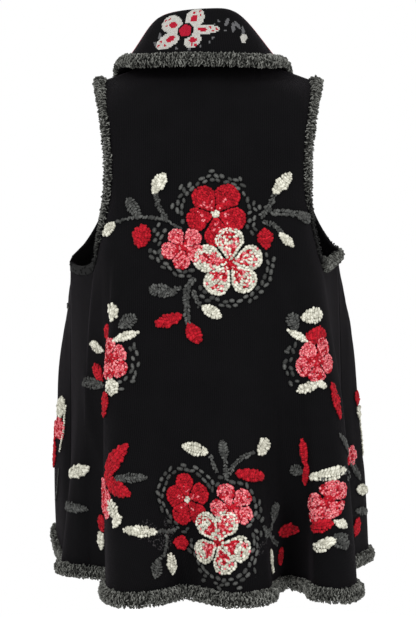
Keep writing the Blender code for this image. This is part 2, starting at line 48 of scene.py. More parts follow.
# Sizes of the garment, in metres, as in the part's source
WALL = 0.0026
SEAT_GAP = 0.0010
SHOULDER_HALF = 0.203
SHOULDER_DROP = 0.014
NECK_RISE = 0.028
NECK_DEPTH = 0.062
NECK_DIP = 0.018
ARMHOLE_DEPTH = 0.345
RIB_DEPTH = 0.43
RIB_SWING = 0.28
MID_DEPTH = 0.62
HEM_DEPTH = 0.918
LAPEL_END = 0.4025
CHEST_ROUNDNESS = 1.15
CAMBER = 1.3
BACK_SQUARENESS = 4.5
COLLAR_START = 0.0016
ROLL_RADIUS = 0.015
ROW_CROWDING = 1.25

# Mesh strips, all three times as fine as in the part's source
FINER = 3
CENTRE_STRIPS = 46 * FINER
SHOULDER_STRIPS = 15 * FINER
SIDE_STRIPS = 7 * FINER
FRONT_STRIPS = 13 * FINER
COLLAR_STRIPS = 28
UPPER_ROWS = 14 * FINER
LOWER_ROWS = 20 * FINER + 40

SEAM_GAP = 0.0003
SINK = 0.0004  # how far a stitch's underside is sunk into the cloth
TINY = 1e-9  # slack in a comparison or a division
JUST_INSIDE = 1.001  # keeps a place on a raster short of its last line
RASTER_STEP = 0.003
HANDS = {"left": 1, "right": -1}  # sign of x on the wearer's left and right
ACROSS_SIGNS = {"back": -1, "left": -1, "right": 1}  # 1 where across grows to the right as seen

BACK_SECTIONS = (
    # depth, edge_x, edge_y, edge_z, middle_y, middle_z
    (0.050, 0.187, 0.042, -0.060, 0.094, -0.040),
    (0.105, 0.179, 0.063, -0.111, 0.111, -0.101),
    (0.160, 0.174, 0.068, -0.166, 0.117, -0.163),
    (0.220, 0.176, 0.059, -0.222, 0.120, -0.220),
    (0.275, 0.186, 0.046, -0.275, 0.1215, -0.275),
    (0.345, 0.199, 0.038, -0.328, 0.1225, -0.345),
)

BACK_FOLDS = (
    # place on the back from +1 to -1, mid_x, mid_y, hem_x, hem_y
    (1.000, 0.222, 0.000, 0.215, -0.040),
    (0.930, 0.199, 0.022, 0.184, -0.018),
    (0.813, 0.173, 0.058, 0.160, 0.038),
    (0.641, 0.180, 0.114, 0.176, 0.120),
    (0.530, 0.159, 0.143, 0.165, 0.184),
    (0.420, 0.130, 0.153, 0.133, 0.222),
    (0.313, 0.092, 0.152, 0.085, 0.200),
    (0.173, 0.048, 0.142, 0.038, 0.146),
    (0.044, 0.008, 0.150, -0.008, 0.190),
    (-0.054, -0.024, 0.157, -0.046, 0.222),
    (-0.190, -0.068, 0.157, -0.102, 0.186),
    (-0.339, -0.106, 0.140, -0.113, 0.110),
    (-0.463, -0.132, 0.121, -0.141, 0.054),
    (-0.582, -0.160, 0.125, -0.176, 0.098),
    (-0.690, -0.184, 0.133, -0.184, 0.156),
    (-0.789, -0.212, 0.125, -0.221, 0.188),
    (-0.912, -0.236, 0.088, -0.257, 0.138),
    (-1.000, -0.237, 0.055, -0.251, 0.088),
)

SIDE_FOLDS = {
    "left": (
        # share, chest_x, chest_y, chest_z, mid_x, mid_y, hem_x, hem_y
        (0.30, 0.212, 0.018, -0.344, 0.233, -0.016, 0.246, -0.050),
        (0.65, 0.236, -0.022, -0.345, 0.244, -0.038, 0.278, -0.088),
        (1.00, 0.256, -0.062, -0.336, 0.256, -0.080, 0.264, -0.128),
    ),
    "right": (
        (0.30, -0.209, 0.016, -0.338, -0.230, 0.018, -0.240, 0.030),
        (0.65, -0.224, -0.024, -0.328, -0.232, -0.020, -0.236, -0.038),
        (1.00, -0.241, -0.062, -0.315, -0.249, -0.066, -0.258, -0.098),
    ),
}

FRONT_SECTIONS = (
    # depth, arm_x, arm_y, arm_z, neck_x, neck_y, neck_z, fullness
    (0.050, 0.195, -0.030, -0.064, 0.083, -0.040, -0.052, 0.008),
    (0.105, 0.185, -0.055, -0.112, 0.077, -0.078, -0.108, 0.016),
    (0.160, 0.180, -0.073, -0.166, 0.067, -0.106, -0.163, 0.026),
    (0.220, 0.190, -0.087, -0.220, 0.055, -0.127, -0.222, 0.034),
    (0.275, 0.210, -0.086, -0.268, 0.044, -0.142, -0.276, 0.041),
    (0.315, 0.232, -0.078, -0.304, 0.037, -0.149, -0.315, 0.044),
)

FRONT_FOLDS = {
    "left": (
        # share, chest_x, chest_y, chest_z, mid_x, mid_y, hem_x, hem_y, hem_z
        (0.16, 0.250, -0.104, -0.342, 0.276, -0.108, 0.286, -0.176, -0.905),
        (0.34, 0.212, -0.128, -0.346, 0.291, -0.156, 0.298, -0.236, -0.868),
        (0.50, 0.158, -0.151, -0.348, 0.250, -0.190, 0.258, -0.264, -0.862),
        (0.66, 0.109, -0.160, -0.348, 0.188, -0.192, 0.206, -0.230, -0.858),
        (0.83, 0.068, -0.161, -0.348, 0.117, -0.206, 0.146, -0.262, -0.856),
        (1.00, 0.033, -0.153, -0.348, 0.060, -0.192, 0.090, -0.238, -0.855),
    ),
    "right": (
        (0.16, -0.240, -0.100, -0.334, -0.272, -0.100, -0.292, -0.150, -0.915),
        (0.34, -0.212, -0.128, -0.342, -0.288, -0.146, -0.314, -0.208, -0.911),
        (0.50, -0.158, -0.151, -0.347, -0.245, -0.186, -0.266, -0.252, -0.903),
        (0.66, -0.109, -0.160, -0.348, -0.188, -0.190, -0.210, -0.224, -0.894),
        (0.83, -0.068, -0.161, -0.348, -0.118, -0.205, -0.148, -0.258, -0.886),
        (1.00, -0.033, -0.153, -0.348, -0.060, -0.192, -0.092, -0.238, -0.880),
    ),
}

COLLAR_SECTIONS = (
    # share of the neckline, roll_x, roll_y, roll_z, edge_x, edge_y, edge_z
    (0.00, 0.030, -0.176, -0.428, 0.052, -0.183, -0.440),
    (0.12, 0.036, -0.184, -0.300, 0.104, -0.188, -0.330),
    (0.24, 0.064, -0.160, -0.150, 0.146, -0.142, -0.185),
    (0.34, 0.102, -0.092, -0.004, 0.160, -0.082, -0.056),
    (0.405, 0.111, -0.012, 0.066, 0.161, 0.002, 0.014),
    (0.45, 0.084, 0.054, 0.096, 0.119, 0.078, 0.004),
    (0.50, 0.000, 0.088, 0.103, 0.000, 0.112, 0.001),
    (0.55, -0.053, 0.064, 0.098, -0.105, 0.080, 0.003),
    (0.595, -0.087, -0.008, 0.060, -0.143, 0.002, 0.012),
    (0.66, -0.092, -0.092, -0.010, -0.149, -0.082, -0.060),
    (0.76, -0.062, -0.160, -0.152, -0.144, -0.142, -0.187),
    (0.88, -0.036, -0.184, -0.300, -0.104, -0.188, -0.330),
    (1.00, -0.030, -0.176, -0.428, -0.052, -0.183, -0.440),
)

# Soft creases in the cloth, laid between the large folds
CREASES = {
    "back": (
        # across, depth, length, heading in degrees, half width, height
        (0.120, 0.395, 0.170, 62, 0.0120, 0.0035),
        (0.165, 0.430, 0.120, 70, 0.0090, -0.0028),
        (-0.118, 0.392, 0.150, 114, 0.0120, 0.0032),
        (-0.160, 0.425, 0.135, 108, 0.0095, -0.0030),
        (0.030, 0.560, 0.220, 88, 0.0160, -0.0034),
        (-0.052, 0.600, 0.260, 94, 0.0180, 0.0030),
        (0.098, 0.640, 0.190, 84, 0.0130, 0.0026),
        (-0.130, 0.650, 0.230, 96, 0.0140, -0.0032),
        (0.250, 0.560, 0.170, 80, 0.0120, -0.0030),
        (0.330, 0.620, 0.210, 86, 0.0130, 0.0028),
        (-0.270, 0.580, 0.200, 99, 0.0130, 0.0030),
        (-0.345, 0.660, 0.180, 95, 0.0110, -0.0026),
        (0.075, 0.130, 0.120, 28, 0.0110, 0.0020),
        (-0.080, 0.118, 0.105, 150, 0.0100, 0.0018),
        (0.140, 0.330, 0.090, 40, 0.0080, 0.0022),
        (-0.138, 0.338, 0.080, 143, 0.0085, 0.0020),
        (0.000, 0.490, 0.110, 8, 0.0120, -0.0016),
        (0.425, 0.600, 0.160, 88, 0.0100, 0.0024),
    ),
    "left": (
        (0.060, 0.420, 0.130, 70, 0.0100, 0.0032),
        (0.115, 0.470, 0.180, 78, 0.0120, -0.0030),
        (0.170, 0.560, 0.200, 86, 0.0130, 0.0030),
        (0.080, 0.640, 0.220, 92, 0.0120, -0.0028),
        (0.110, 0.180, 0.110, 60, 0.0110, 0.0022),
        (0.200, 0.740, 0.150, 84, 0.0110, 0.0026),
    ),
    "right": (
        (0.055, 0.430, 0.120, 74, 0.0100, 0.0030),
        (0.125, 0.480, 0.170, 82, 0.0120, -0.0032),
        (0.175, 0.590, 0.210, 90, 0.0130, 0.0028),
        (0.090, 0.660, 0.190, 95, 0.0110, -0.0026),
        (0.100, 0.195, 0.120, 64, 0.0110, 0.0024),
        (0.215, 0.720, 0.160, 88, 0.0120, 0.0024),
    ),
}

# Cross-section of the pile edging under its loops, and where its loops are rooted
PILE_SECTION = (
    # inwards, height
    (0.0004, 0.0000),
    (0.0080, 0.0000),
    (0.0165, 0.0000),
    (0.0155, 0.0050),
    (0.0060, 0.0068),
    (-0.0004, 0.0040),
)
PILE_CORNERS = len(PILE_SECTION)
LOOP_SPACING = 0.0037
LOOP_HEIGHT = 0.0048
LOOP_WIDTHS = (0.0036, 0.0062)
LOOP_YARN = 0.00125  # half the thickness of the yarn
LOOP_LEAN = 0.0011
LOOP_SCATTER = 0.45  # how far a loop's root strays, as a share of the spacing
LOOP_FAN = 0.38  # how much the loops fan out near the section's corners
LOOP_TILT = 0.24
LOOP_TURN = 0.50
SHADED_LOOP_TONE = -0.35  # tone of a loop where the pile is thinned, painted dark as painted shade
# Tone of the strip under the loops, painted dark as painted shade between them
BASE_TONE = 0.1
THIN_PILE_SHADE = 0.7  # how much darker the strip under the loops is painted there, as painted shade

# How full the pile is round each armhole; thinner pile is also painted darker, as painted shade
ARMHOLE_FULLNESS = {
    # place and fullness, with 0 to 1 down the back, 1 to 2 the corner, 2 to 3 the underarm and
    # 3 to 4 up the front
    "left": (
        ((0.00, 1.00), (0.80, 1.00), (1.00, 0.45), (2.00, 0.30))
        + ((2.30, 0.12), (3.40, 0.12), (3.70, 1.00), (4.00, 1.00))
    ),
    "right": (
        ((0.00, 1.00), (0.62, 1.00), (0.85, 0.40), (2.00, 0.60), (2.20, 1.00))
        + ((3.00, 0.95), (3.15, 0.30), (3.50, 0.30), (3.75, 1.00), (4.00, 1.00))
    ),
}

# Yarn flowers: turn is the heading of one petal, counter-clockwise from the right as seen
FLOWERS = (
    # panel, kind, across, depth, radius, turn
    ("back", "crimson", -0.013, 0.260, 0.056, 56),
    ("back", "pink", 0.043, 0.319, 0.038, 50),
    ("back", "cream", -0.038, 0.347, 0.062, 18),
    ("back", "crimson", 0.054, 0.751, 0.047, 95),
    ("back", "pink", -0.028, 0.759, 0.038, 40),
    ("back", "cream", -0.003, 0.819, 0.056, 60),
    ("back", "rose", 0.174, 0.516, 0.035, 30),
    ("back", "rose", -0.192, 0.520, 0.038, 60),
    ("back", "rose", 0.233, 0.751, 0.035, 10),
    ("back", "rose", -0.251, 0.753, 0.038, 40),
    ("left", "rose", 0.041, 0.652, 0.025, 20),
    ("right", "pink", 0.025, 0.700, 0.021, 0),
)

LEAVES = (
    # panel, yarn, across, depth, length, width, heading of the tip
    ("back", "crimson", 0.115, 0.300, 0.040, 0.032, 80),
    ("back", "crimson", -0.099, 0.304, 0.034, 0.026, 95),
    ("back", "crimson", 0.070, 0.446, 0.048, 0.022, -158),
    ("back", "crimson", 0.026, 0.467, 0.036, 0.025, -60),
    ("back", "grey", -0.178, 0.264, 0.040, 0.022, -8),
    ("back", "cream", 0.184, 0.286, 0.042, 0.026, 30),
    ("back", "cream", 0.085, 0.205, 0.040, 0.023, 63),
    ("back", "cream", -0.130, 0.203, 0.048, 0.024, 51),
    ("back", "cream", -0.137, 0.308, 0.035, 0.017, -47),
    ("back", "cream", -0.006, 0.430, 0.035, 0.022, -30),
    ("back", "grey", 0.130, 0.248, 0.038, 0.023, -56),
    ("back", "grey", 0.080, 0.396, 0.048, 0.024, 175),
    ("back", "cream", 0.172, 0.440, 0.028, 0.030, 74),
    ("back", "grey", 0.140, 0.452, 0.037, 0.023, 35),
    ("back", "crimson", 0.210, 0.479, 0.030, 0.024, 80),
    ("back", "cream", 0.144, 0.477, 0.050, 0.014, 21),
    ("back", "cream", 0.261, 0.504, 0.035, 0.017, 167),
    ("back", "crimson", 0.272, 0.545, 0.026, 0.029, 125),
    ("back", "grey", 0.299, 0.563, 0.066, 0.020, 178),
    ("back", "cream", 0.173, 0.561, 0.028, 0.030, -63),
    ("back", "crimson", 0.195, 0.590, 0.043, 0.022, 73),
    ("back", "cream", -0.186, 0.448, 0.044, 0.027, 0),
    ("back", "grey", -0.149, 0.454, 0.031, 0.024, 111),
    ("back", "cream", -0.156, 0.477, 0.040, 0.012, 148),
    ("back", "crimson", -0.193, 0.481, 0.046, 0.028, 5),
    ("back", "cream", -0.176, 0.563, 0.034, 0.017, -163),
    ("back", "cream", -0.201, 0.559, 0.023, 0.012, -25),
    ("back", "crimson", -0.237, 0.588, 0.062, 0.021, -68),
    ("back", "cream", 0.032, 0.665, 0.044, 0.023, 167),
    ("back", "grey", -0.019, 0.665, 0.033, 0.017, 96),
    ("back", "cream", -0.089, 0.660, 0.032, 0.025, 52),
    ("back", "crimson", -0.065, 0.708, 0.052, 0.022, -9),
    ("back", "crimson", 0.081, 0.825, 0.029, 0.024, -4),
    ("back", "cream", 0.157, 0.800, 0.052, 0.020, 176),
    ("back", "grey", 0.146, 0.862, 0.033, 0.020, 61),
    ("back", "cream", 0.111, 0.858, 0.035, 0.025, 82),
    ("back", "grey", -0.129, 0.776, 0.033, 0.027, 83),
    ("back", "crimson", -0.184, 0.813, 0.053, 0.024, 2),
    ("back", "crimson", -0.182, 0.858, 0.032, 0.021, 114),
    ("back", "cream", -0.128, 0.858, 0.047, 0.021, 120),
    ("back", "crimson", 0.182, 0.687, 0.087, 0.027, 44),
    ("back", "crimson", 0.184, 0.728, 0.054, 0.028, -23),
    ("back", "grey", 0.152, 0.712, 0.055, 0.017, 2),
    ("back", "cream", 0.199, 0.766, 0.030, 0.028, 116),
    ("back", "cream", 0.193, 0.784, 0.028, 0.016, 44),
    ("back", "crimson", 0.407, 0.813, 0.037, 0.017, 52),
    ("back", "cream", 0.434, 0.846, 0.043, 0.016, 51),
    ("back", "cream", 0.408, 0.722, 0.073, 0.021, 17),
    ("back", "grey", 0.468, 0.792, 0.086, 0.020, 4),
    ("left", "cream", 0.038, 0.611, 0.041, 0.039, 65),
    ("left", "crimson", 0.075, 0.667, 0.049, 0.032, 81),
    ("left", "crimson", 0.074, 0.714, 0.064, 0.030, 66),
    ("back", "cream", -0.235, 0.708, 0.064, 0.023, 9),
    ("back", "crimson", -0.176, 0.671, 0.047, 0.015, 107),
    ("back", "crimson", -0.189, 0.710, 0.035, 0.015, 98),
    ("back", "grey", -0.168, 0.704, 0.027, 0.019, 163),
    ("back", "crimson", -0.267, 0.796, 0.038, 0.025, 6),
    ("back", "cream", -0.300, 0.792, 0.036, 0.012, -20),
    ("back", "cream", -0.296, 0.827, 0.033, 0.028, 3),
    ("back", "grey", -0.324, 0.821, 0.052, 0.019, -28),
    ("right", "crimson", 0.067, 0.594, 0.026, 0.023, 80),
    ("right", "cream", 0.070, 0.621, 0.024, 0.022, 79),
    ("back", "grey", -0.273, 0.664, 0.075, 0.014, -35),
    ("right", "grey", 0.040, 0.728, 0.072, 0.017, -44),
    ("right", "cream", 0.072, 0.772, 0.053, 0.023, -11),
    ("right", "grey", 0.071, 0.815, 0.060, 0.017, -11),
    ("right", "crimson", 0.046, 0.842, 0.034, 0.029, 65),
)

STEMS = (
    # panel, width, places as across and depth
    (
        "back",
        0.0053,
        ((0.16, 0.272), (0.131, 0.266), (0.097, 0.266), (0.073, 0.272), (0.047, 0.286)),
    ),
    ("back", 0.0088, ((0.09, 0.225), (0.085, 0.246), (0.073, 0.268))),
    ("back", 0.0088, ((-0.117, 0.225), (-0.104, 0.248), (-0.092, 0.264))),
    ("back", 0.0105, ((-0.108, 0.256), (-0.156, 0.258), (-0.198, 0.26))),
    ("back", 0.0070, ((-0.096, 0.274), (-0.115, 0.28), (-0.126, 0.294))),
    ("back", 0.0105, ((0.024, 0.372), (0.036, 0.39), (0.037, 0.423), (0.036, 0.45))),
    ("back", 0.0070, ((0.026, 0.394), (0.015, 0.421))),
    ("back", 0.0070, ((0.047, 0.39), (0.059, 0.392))),
    ("back", 0.0070, ((-0.072, 0.669), (-0.04, 0.685), (-0.024, 0.708))),
    ("back", 0.0070, ((0.004, 0.677), (-0.007, 0.704))),
    ("back", 0.0070, ((-0.021, 0.681), (-0.021, 0.714))),
    ("back", 0.0053, ((0.128, 0.801), (0.098, 0.803), (0.08, 0.8))),
    ("back", 0.0053, ((0.111, 0.809), (0.121, 0.836), (0.136, 0.848))),
    ("back", 0.0070, ((-0.128, 0.79), (-0.118, 0.803), (-0.087, 0.809))),
    ("back", 0.0070, ((-0.084, 0.796), (-0.132, 0.823), (-0.159, 0.836))),
)

# Short arcs of seed stitches beside the flowers at the sides
SEED_ARCS = (
    # panel, across, depth, radius of the flower, first and last heading
    ("back", 0.174, 0.516, 0.036, -62, 40),
    ("back", -0.192, 0.520, 0.040, 150, 232),
    ("back", -0.251, 0.753, 0.040, 40, 120),
)

# Scalloped lines of small stitches where a motif runs over a fold
FRINGES = (
    # panel, yarn, places as across and depth
    (
        "left",
        "cream",
        ((0.017, 0.607), (0.020, 0.631), (0.021, 0.654), (0.029, 0.677), (0.038, 0.700)),
    ),
    ("left", "grey", ((0.044, 0.735), (0.050, 0.761), (0.058, 0.786), (0.071, 0.811))),
    ("left", "grey", ((0.055, 0.415), (0.040, 0.423), (0.019, 0.427))),
    (
        "right",
        "cream",
        ((0.069, 0.617), (0.073, 0.636), (0.076, 0.660), (0.078, 0.685), (0.081, 0.706)),
    ),
)


def unit(vectors):
    """The same directions at length 1."""
    return vectors / np.linalg.norm(vectors, axis=-1, keepdims=True)


def through(places, values, wanted, limited=False):
    """Points of the smooth curve through values, given at rising places, read at the wanted places.

    A limited curve never swings past its own values.
    """
    places, values = np.asarray(places, float), np.asarray(values, float)
    spread = (-1,) + (1,) * (values.ndim - 1)
    steps = np.diff(places).reshape(spread)
    chords = np.diff(values, axis=0) / steps
    slopes = np.empty_like(values)
    slopes[1:-1] = (steps[1:] * chords[:-1] + steps[:-1] * chords[1:]) / (steps[1:] + steps[:-1])
    slopes[0] = 1.5 * chords[0] - 0.5 * slopes[1]
    slopes[-1] = 1.5 * chords[-1] - 0.5 * slopes[-2]
    if limited:
        before = np.concatenate([chords[:1], chords])
        after = np.concatenate([chords, chords[-1:]])
        least = 2.5 * np.minimum(np.abs(before), np.abs(after))
        slopes = np.where(before * after > 0, np.clip(slopes, -least, least), 0)
    wanted = np.asarray(wanted, float)
    low = np.clip(np.searchsorted(places, wanted, side="right") - 1, 0, len(places) - 2)
    step = (places[low + 1] - places[low]).reshape(spread)
    t = ((wanted - places[low]) / (places[low + 1] - places[low])).reshape(spread)
    start = (2 * t**3 - 3 * t**2 + 1) * values[low] + (t**3 - 2 * t**2 + t) * step * slopes[low]
    end = (3 * t**2 - 2 * t**3) * values[low + 1] + (t**3 - t**2) * step * slopes[low + 1]
    return start + end


def row_depths():
    """Depths of the mesh rows, crowded at the shoulder and even below the underarm."""
    shares = np.linspace(0, 1, UPPER_ROWS + 1) ** ROW_CROWDING
    below = np.linspace(ARMHOLE_DEPTH, HEM_DEPTH, LOWER_ROWS + 1)
    return np.concatenate([shares * ARMHOLE_DEPTH, below[1:]])


def below_arms(depths):
    """Which rows lie at the underarm or below it."""
    return depths >= ARMHOLE_DEPTH - TINY


def across_share(place):
    """Share of the half width at a place from 0, the middle of the back, to 1, the armhole edge."""
    return 1 - (1 - np.abs(place)) ** CAMBER


NECK_PLACE = 1 - SHOULDER_STRIPS / (CENTRE_STRIPS / 2)
NECK_HALF = SHOULDER_HALF * float(across_share(NECK_PLACE))


def top_edge(places):
    """Upper edge of the back: shoulder seam, back neckline, shoulder seam."""
    x = SHOULDER_HALF * across_share(places)
    down_shoulder = np.clip((x - NECK_HALF) / (SHOULDER_HALF - NECK_HALF), 0, 1)
    in_neck = np.clip(1 - (x / NECK_HALF) ** 2.2, 0, 1) ** 0.85
    y = NECK_DEPTH * in_neck
    z = NECK_RISE - (NECK_RISE + SHOULDER_DROP) * down_shoulder - NECK_DIP * in_neck
    return np.stack([np.sign(places) * x, y, z], axis=1)


def back_section(places, edge, middle_y, middle_z):
    """One section across the back between its armhole edges."""
    edge_x, edge_y, edge_z = edge
    x = np.sign(places) * edge_x * across_share(places)
    y = middle_y + (edge_y - middle_y) * np.abs(places) ** BACK_SQUARENESS
    z = middle_z + (edge_z - middle_z) * np.abs(places) ** 2
    return np.stack([x, y, z], axis=1)


def back_grid(depths):
    """Points of the back, rows by strips from the left side seam to the right one.

    The strips under the arms exist only below the underarm: above it their points are NaN.
    """
    places = np.linspace(1, -1, CENTRE_STRIPS + 1)
    levels, sections = [0.0], [top_edge(places)]
    for depth, edge_x, edge_y, edge_z, middle_y, middle_z in BACK_SECTIONS:
        levels.append(depth)
        sections.append(back_section(places, (edge_x, edge_y, edge_z), middle_y, middle_z))
    folds = np.array(BACK_FOLDS)[::-1]
    mid = through(folds[:, 0], folds[:, 1:3], places)
    hem = through(folds[:, 0], folds[:, 3:5], places)
    levels += [MID_DEPTH, HEM_DEPTH]
    sections.append(np.column_stack([mid, np.full(len(places), -MID_DEPTH)]))
    sections.append(np.column_stack([hem, np.full(len(places), -HEM_DEPTH)]))
    middle = through(levels, np.array(sections), depths, True)

    lower = below_arms(depths)
    sides = {}
    for name, column in (("left", 0), ("right", -1)):
        rows = np.array(SIDE_FOLDS[name])
        shares = np.concatenate([[0], rows[:, 0]])
        edge = np.array(sections)[-3:, column]
        wanted = np.linspace(0, 1, SIDE_STRIPS + 1)[1:]
        chest = through(shares, np.vstack([edge[0], rows[:, 1:4]]), wanted)
        at_mid = through(shares, np.vstack([edge[1, :2], rows[:, 4:6]]), wanted)
        at_hem = through(shares, np.vstack([edge[2, :2], rows[:, 6:8]]), wanted)
        at_mid = np.column_stack([at_mid, np.full(SIDE_STRIPS, -MID_DEPTH)])
        at_hem = np.column_stack([at_hem, np.full(SIDE_STRIPS, -HEM_DEPTH)])
        points = np.full((len(depths), SIDE_STRIPS, 3), np.nan)
        stack = np.array([chest, at_mid, at_hem])
        points[lower] = through([ARMHOLE_DEPTH, MID_DEPTH, HEM_DEPTH], stack, depths[lower])
        sides[name] = points
    return np.concatenate([sides["left"][:, ::-1], middle, sides["right"]], axis=1)


def front_grid(name, depths):
    """Points of one front, rows by strips from the armhole and side seam to the front edge."""
    shares = np.linspace(0, 1, FRONT_STRIPS + 1)
    tip = np.array([SHOULDER_HALF, 0, -SHOULDER_DROP])
    neck_point = np.array([NECK_HALF, 0, NECK_RISE])
    levels, sections = [0.0], [tip + (neck_point - tip) * shares[:, None]]
    for depth, arm_x, arm_y, arm_z, neck_x, neck_y, neck_z, fullness in FRONT_SECTIONS:
        arm, neck = np.array([arm_x, arm_y, arm_z]), np.array([neck_x, neck_y, neck_z])
        row = arm + (neck - arm) * shares[:, None]
        outwards = unit(np.array([arm_y - neck_y, neck_x - arm_x, 0.0]))
        row += outwards * fullness * ((4 * shares * (1 - shares)) ** CHEST_ROUNDNESS)[:, None]
        levels.append(depth)
        sections.append(row)
    for section in sections:
        section[:, 0] *= HANDS[name]
    rows = np.array(FRONT_FOLDS[name])
    seam = np.array(SIDE_FOLDS[name][-1])
    places = np.concatenate([[0], rows[:, 0]])
    chest = through(places, np.vstack([seam[1:4], rows[:, 1:4]]), shares)
    mid = through(places, np.vstack([seam[4:6], rows[:, 4:6]]), shares)
    hem_seam = np.append(seam[6:8], -HEM_DEPTH)
    hem = through(places, np.vstack([hem_seam, rows[:, 6:9]]), shares)
    mid = np.column_stack([mid, np.full(FRONT_STRIPS + 1, -MID_DEPTH)])
    # Below the arm a front swings out sooner than its side seam does
    rib_share = (RIB_DEPTH - ARMHOLE_DEPTH) / (MID_DEPTH - ARMHOLE_DEPTH)
    swing = rib_share + RIB_SWING * np.clip(shares / 0.16, 0, 1)
    ribs = chest + (mid - chest) * swing[:, None]
    ribs[:, 2] = chest[:, 2] + (mid - chest)[:, 2] * rib_share
    levels += [ARMHOLE_DEPTH, RIB_DEPTH, MID_DEPTH, HEM_DEPTH]
    sections += [chest, ribs, mid, hem]
    grid = through(levels, np.array(sections), depths, True)
    # The side seam has the back's own points
    lower = below_arms(depths)
    seam_points = np.array([seam[1:4], np.append(seam[4:6], -MID_DEPTH), hem_seam])
    own = through([ARMHOLE_DEPTH, MID_DEPTH, HEM_DEPTH], seam_points, depths[lower])
    fade = np.clip(1 - shares / 0.3, 0, 1)[None, :, None] ** 2
    grid[lower] += (own - grid[lower][:, 0])[:, None] * fade
    return grid


def step_along(grid, axis):
    """Direction of the grid along an axis, from the neighbours that exist on either side."""
    ahead = np.roll(grid, -1, axis)
    behind = np.roll(grid, 1, axis)
    last = [slice(None)] * 3
    first = [slice(None)] * 3
    last[axis], first[axis] = -1, 0
    ahead[tuple(last)] = np.nan
    behind[tuple(first)] = np.nan
    ahead = np.where(np.isnan(ahead), grid, ahead)
    behind = np.where(np.isnan(behind), grid, behind)
    return ahead - behind


def normals_of(grid, outward):
    """Unit normals of a grid of points. outward is +1 where strips x rows points outwards."""
    return unit(np.cross(step_along(grid, 1), step_along(grid, 0)) * outward)


def shoulder_normal(hand):
    """Normal of the cloth along the shoulder seam, square to it and upright."""
    return unit(np.array([hand * (NECK_RISE + SHOULDER_DROP), 0.0, SHOULDER_HALF - NECK_HALF]))


def smoothed(values, closed, rounds=2):
    """Values along a path, each averaged with its neighbours."""
    for _ in range(rounds):
        before, after = np.roll(values, 1, 0), np.roll(values, -1, 0)
        if not closed:
            before[0], after[-1] = values[0], values[-1]
        values = (before + 2 * values + after) / 4
    return values


def square_to_path(edge, inward, closed):
    """Inward directions made square to the path that the edge follows."""
    run = unit(np.roll(edge, -1, 0) - np.roll(edge, 1, 0))
    if not closed:
        run[0], run[-1] = unit(edge[1] - edge[0]), unit(edge[-1] - edge[-2])
    return unit(inward - run * (inward * run).sum(1, keepdims=True))


def bezier(a, b, c, d, t):
    """Points of a cubic Bezier curve."""
    t = t[:, None]
    return a * (1 - t) ** 3 + 3 * b * t * (1 - t) ** 2 + 3 * c * t**2 * (1 - t) + d * t**3


def collar_grid(neckline, away):
    """Points of the collar: one row for each point of the neckline, from seam to free edge.

    away holds the directions in which the panels point beyond the neckline.
    """
    lengths = np.linalg.norm(np.diff(neckline, axis=0), axis=1)
    shares = np.concatenate([[0], np.cumsum(lengths)]) / lengths.sum()
    table = np.array(COLLAR_SECTIONS)
    rolls = through(table[:, 0], table[:, 1:4], shares)
    edges = through(table[:, 0], table[:, 4:7], shares)
    half = np.linspace(0, 1, COLLAR_STRIPS // 2 + 1)
    rows = []
    for seam, onward, roll, edge in zip(neckline, away, rolls, edges):
        rise = unit(roll - seam)
        start = seam + onward * COLLAR_START
        lead = unit(onward + 0.5 * rise) * 0.35 * np.linalg.norm(roll - seam)
        outwards = (edge - seam) - rise * np.dot(edge - seam, rise)
        turn = unit(outwards) * min(ROLL_RADIUS, 0.45 * np.linalg.norm(roll - seam))
        stand = bezier(start, start + lead, roll - turn, roll, half)
        fall = bezier(roll, roll + turn, edge + (roll - edge) * 0.35, edge, half)
        rows.append(np.vstack([stand, fall[1:]]))
    return np.array(rows)


def running_length(points):
    """Length from the first point of a line to each one."""
    steps = np.linalg.norm(np.diff(points, axis=0), axis=1)
    return np.concatenate([[0], np.cumsum(steps)])


def lengths_along(grid, axis):
    """Length of the cloth from the grid's first point to each other one, along an axis."""
    steps = np.nan_to_num(np.linalg.norm(np.diff(grid, axis=axis), axis=2))
    first = np.zeros_like(np.take(steps, [0], axis=axis))
    return np.concatenate([first, np.cumsum(steps, axis=axis)], axis=axis)


def crease_height(name, across, depths):
    """How far the soft creases push each point of a panel out."""
    height = np.zeros_like(across)
    down = np.broadcast_to(depths[:, None], across.shape)
    for at, depth, length, heading, half_width, peak in CREASES[name]:
        angle = np.radians(heading)
        right, below = across - at, down - depth
        along = right * np.cos(angle) + below * np.sin(angle)
        aside = below * np.cos(angle) - right * np.sin(angle)
        # A crease fades at both ends and wanders a little from side to side
        aside = aside + 0.35 * half_width * np.sin(9 * along / length)
        fade = np.clip(1 - (2 * along / length) ** 2, 0, 1) ** 1.5
        height += peak * fade * np.exp(-((aside / half_width) ** 2))
    return height


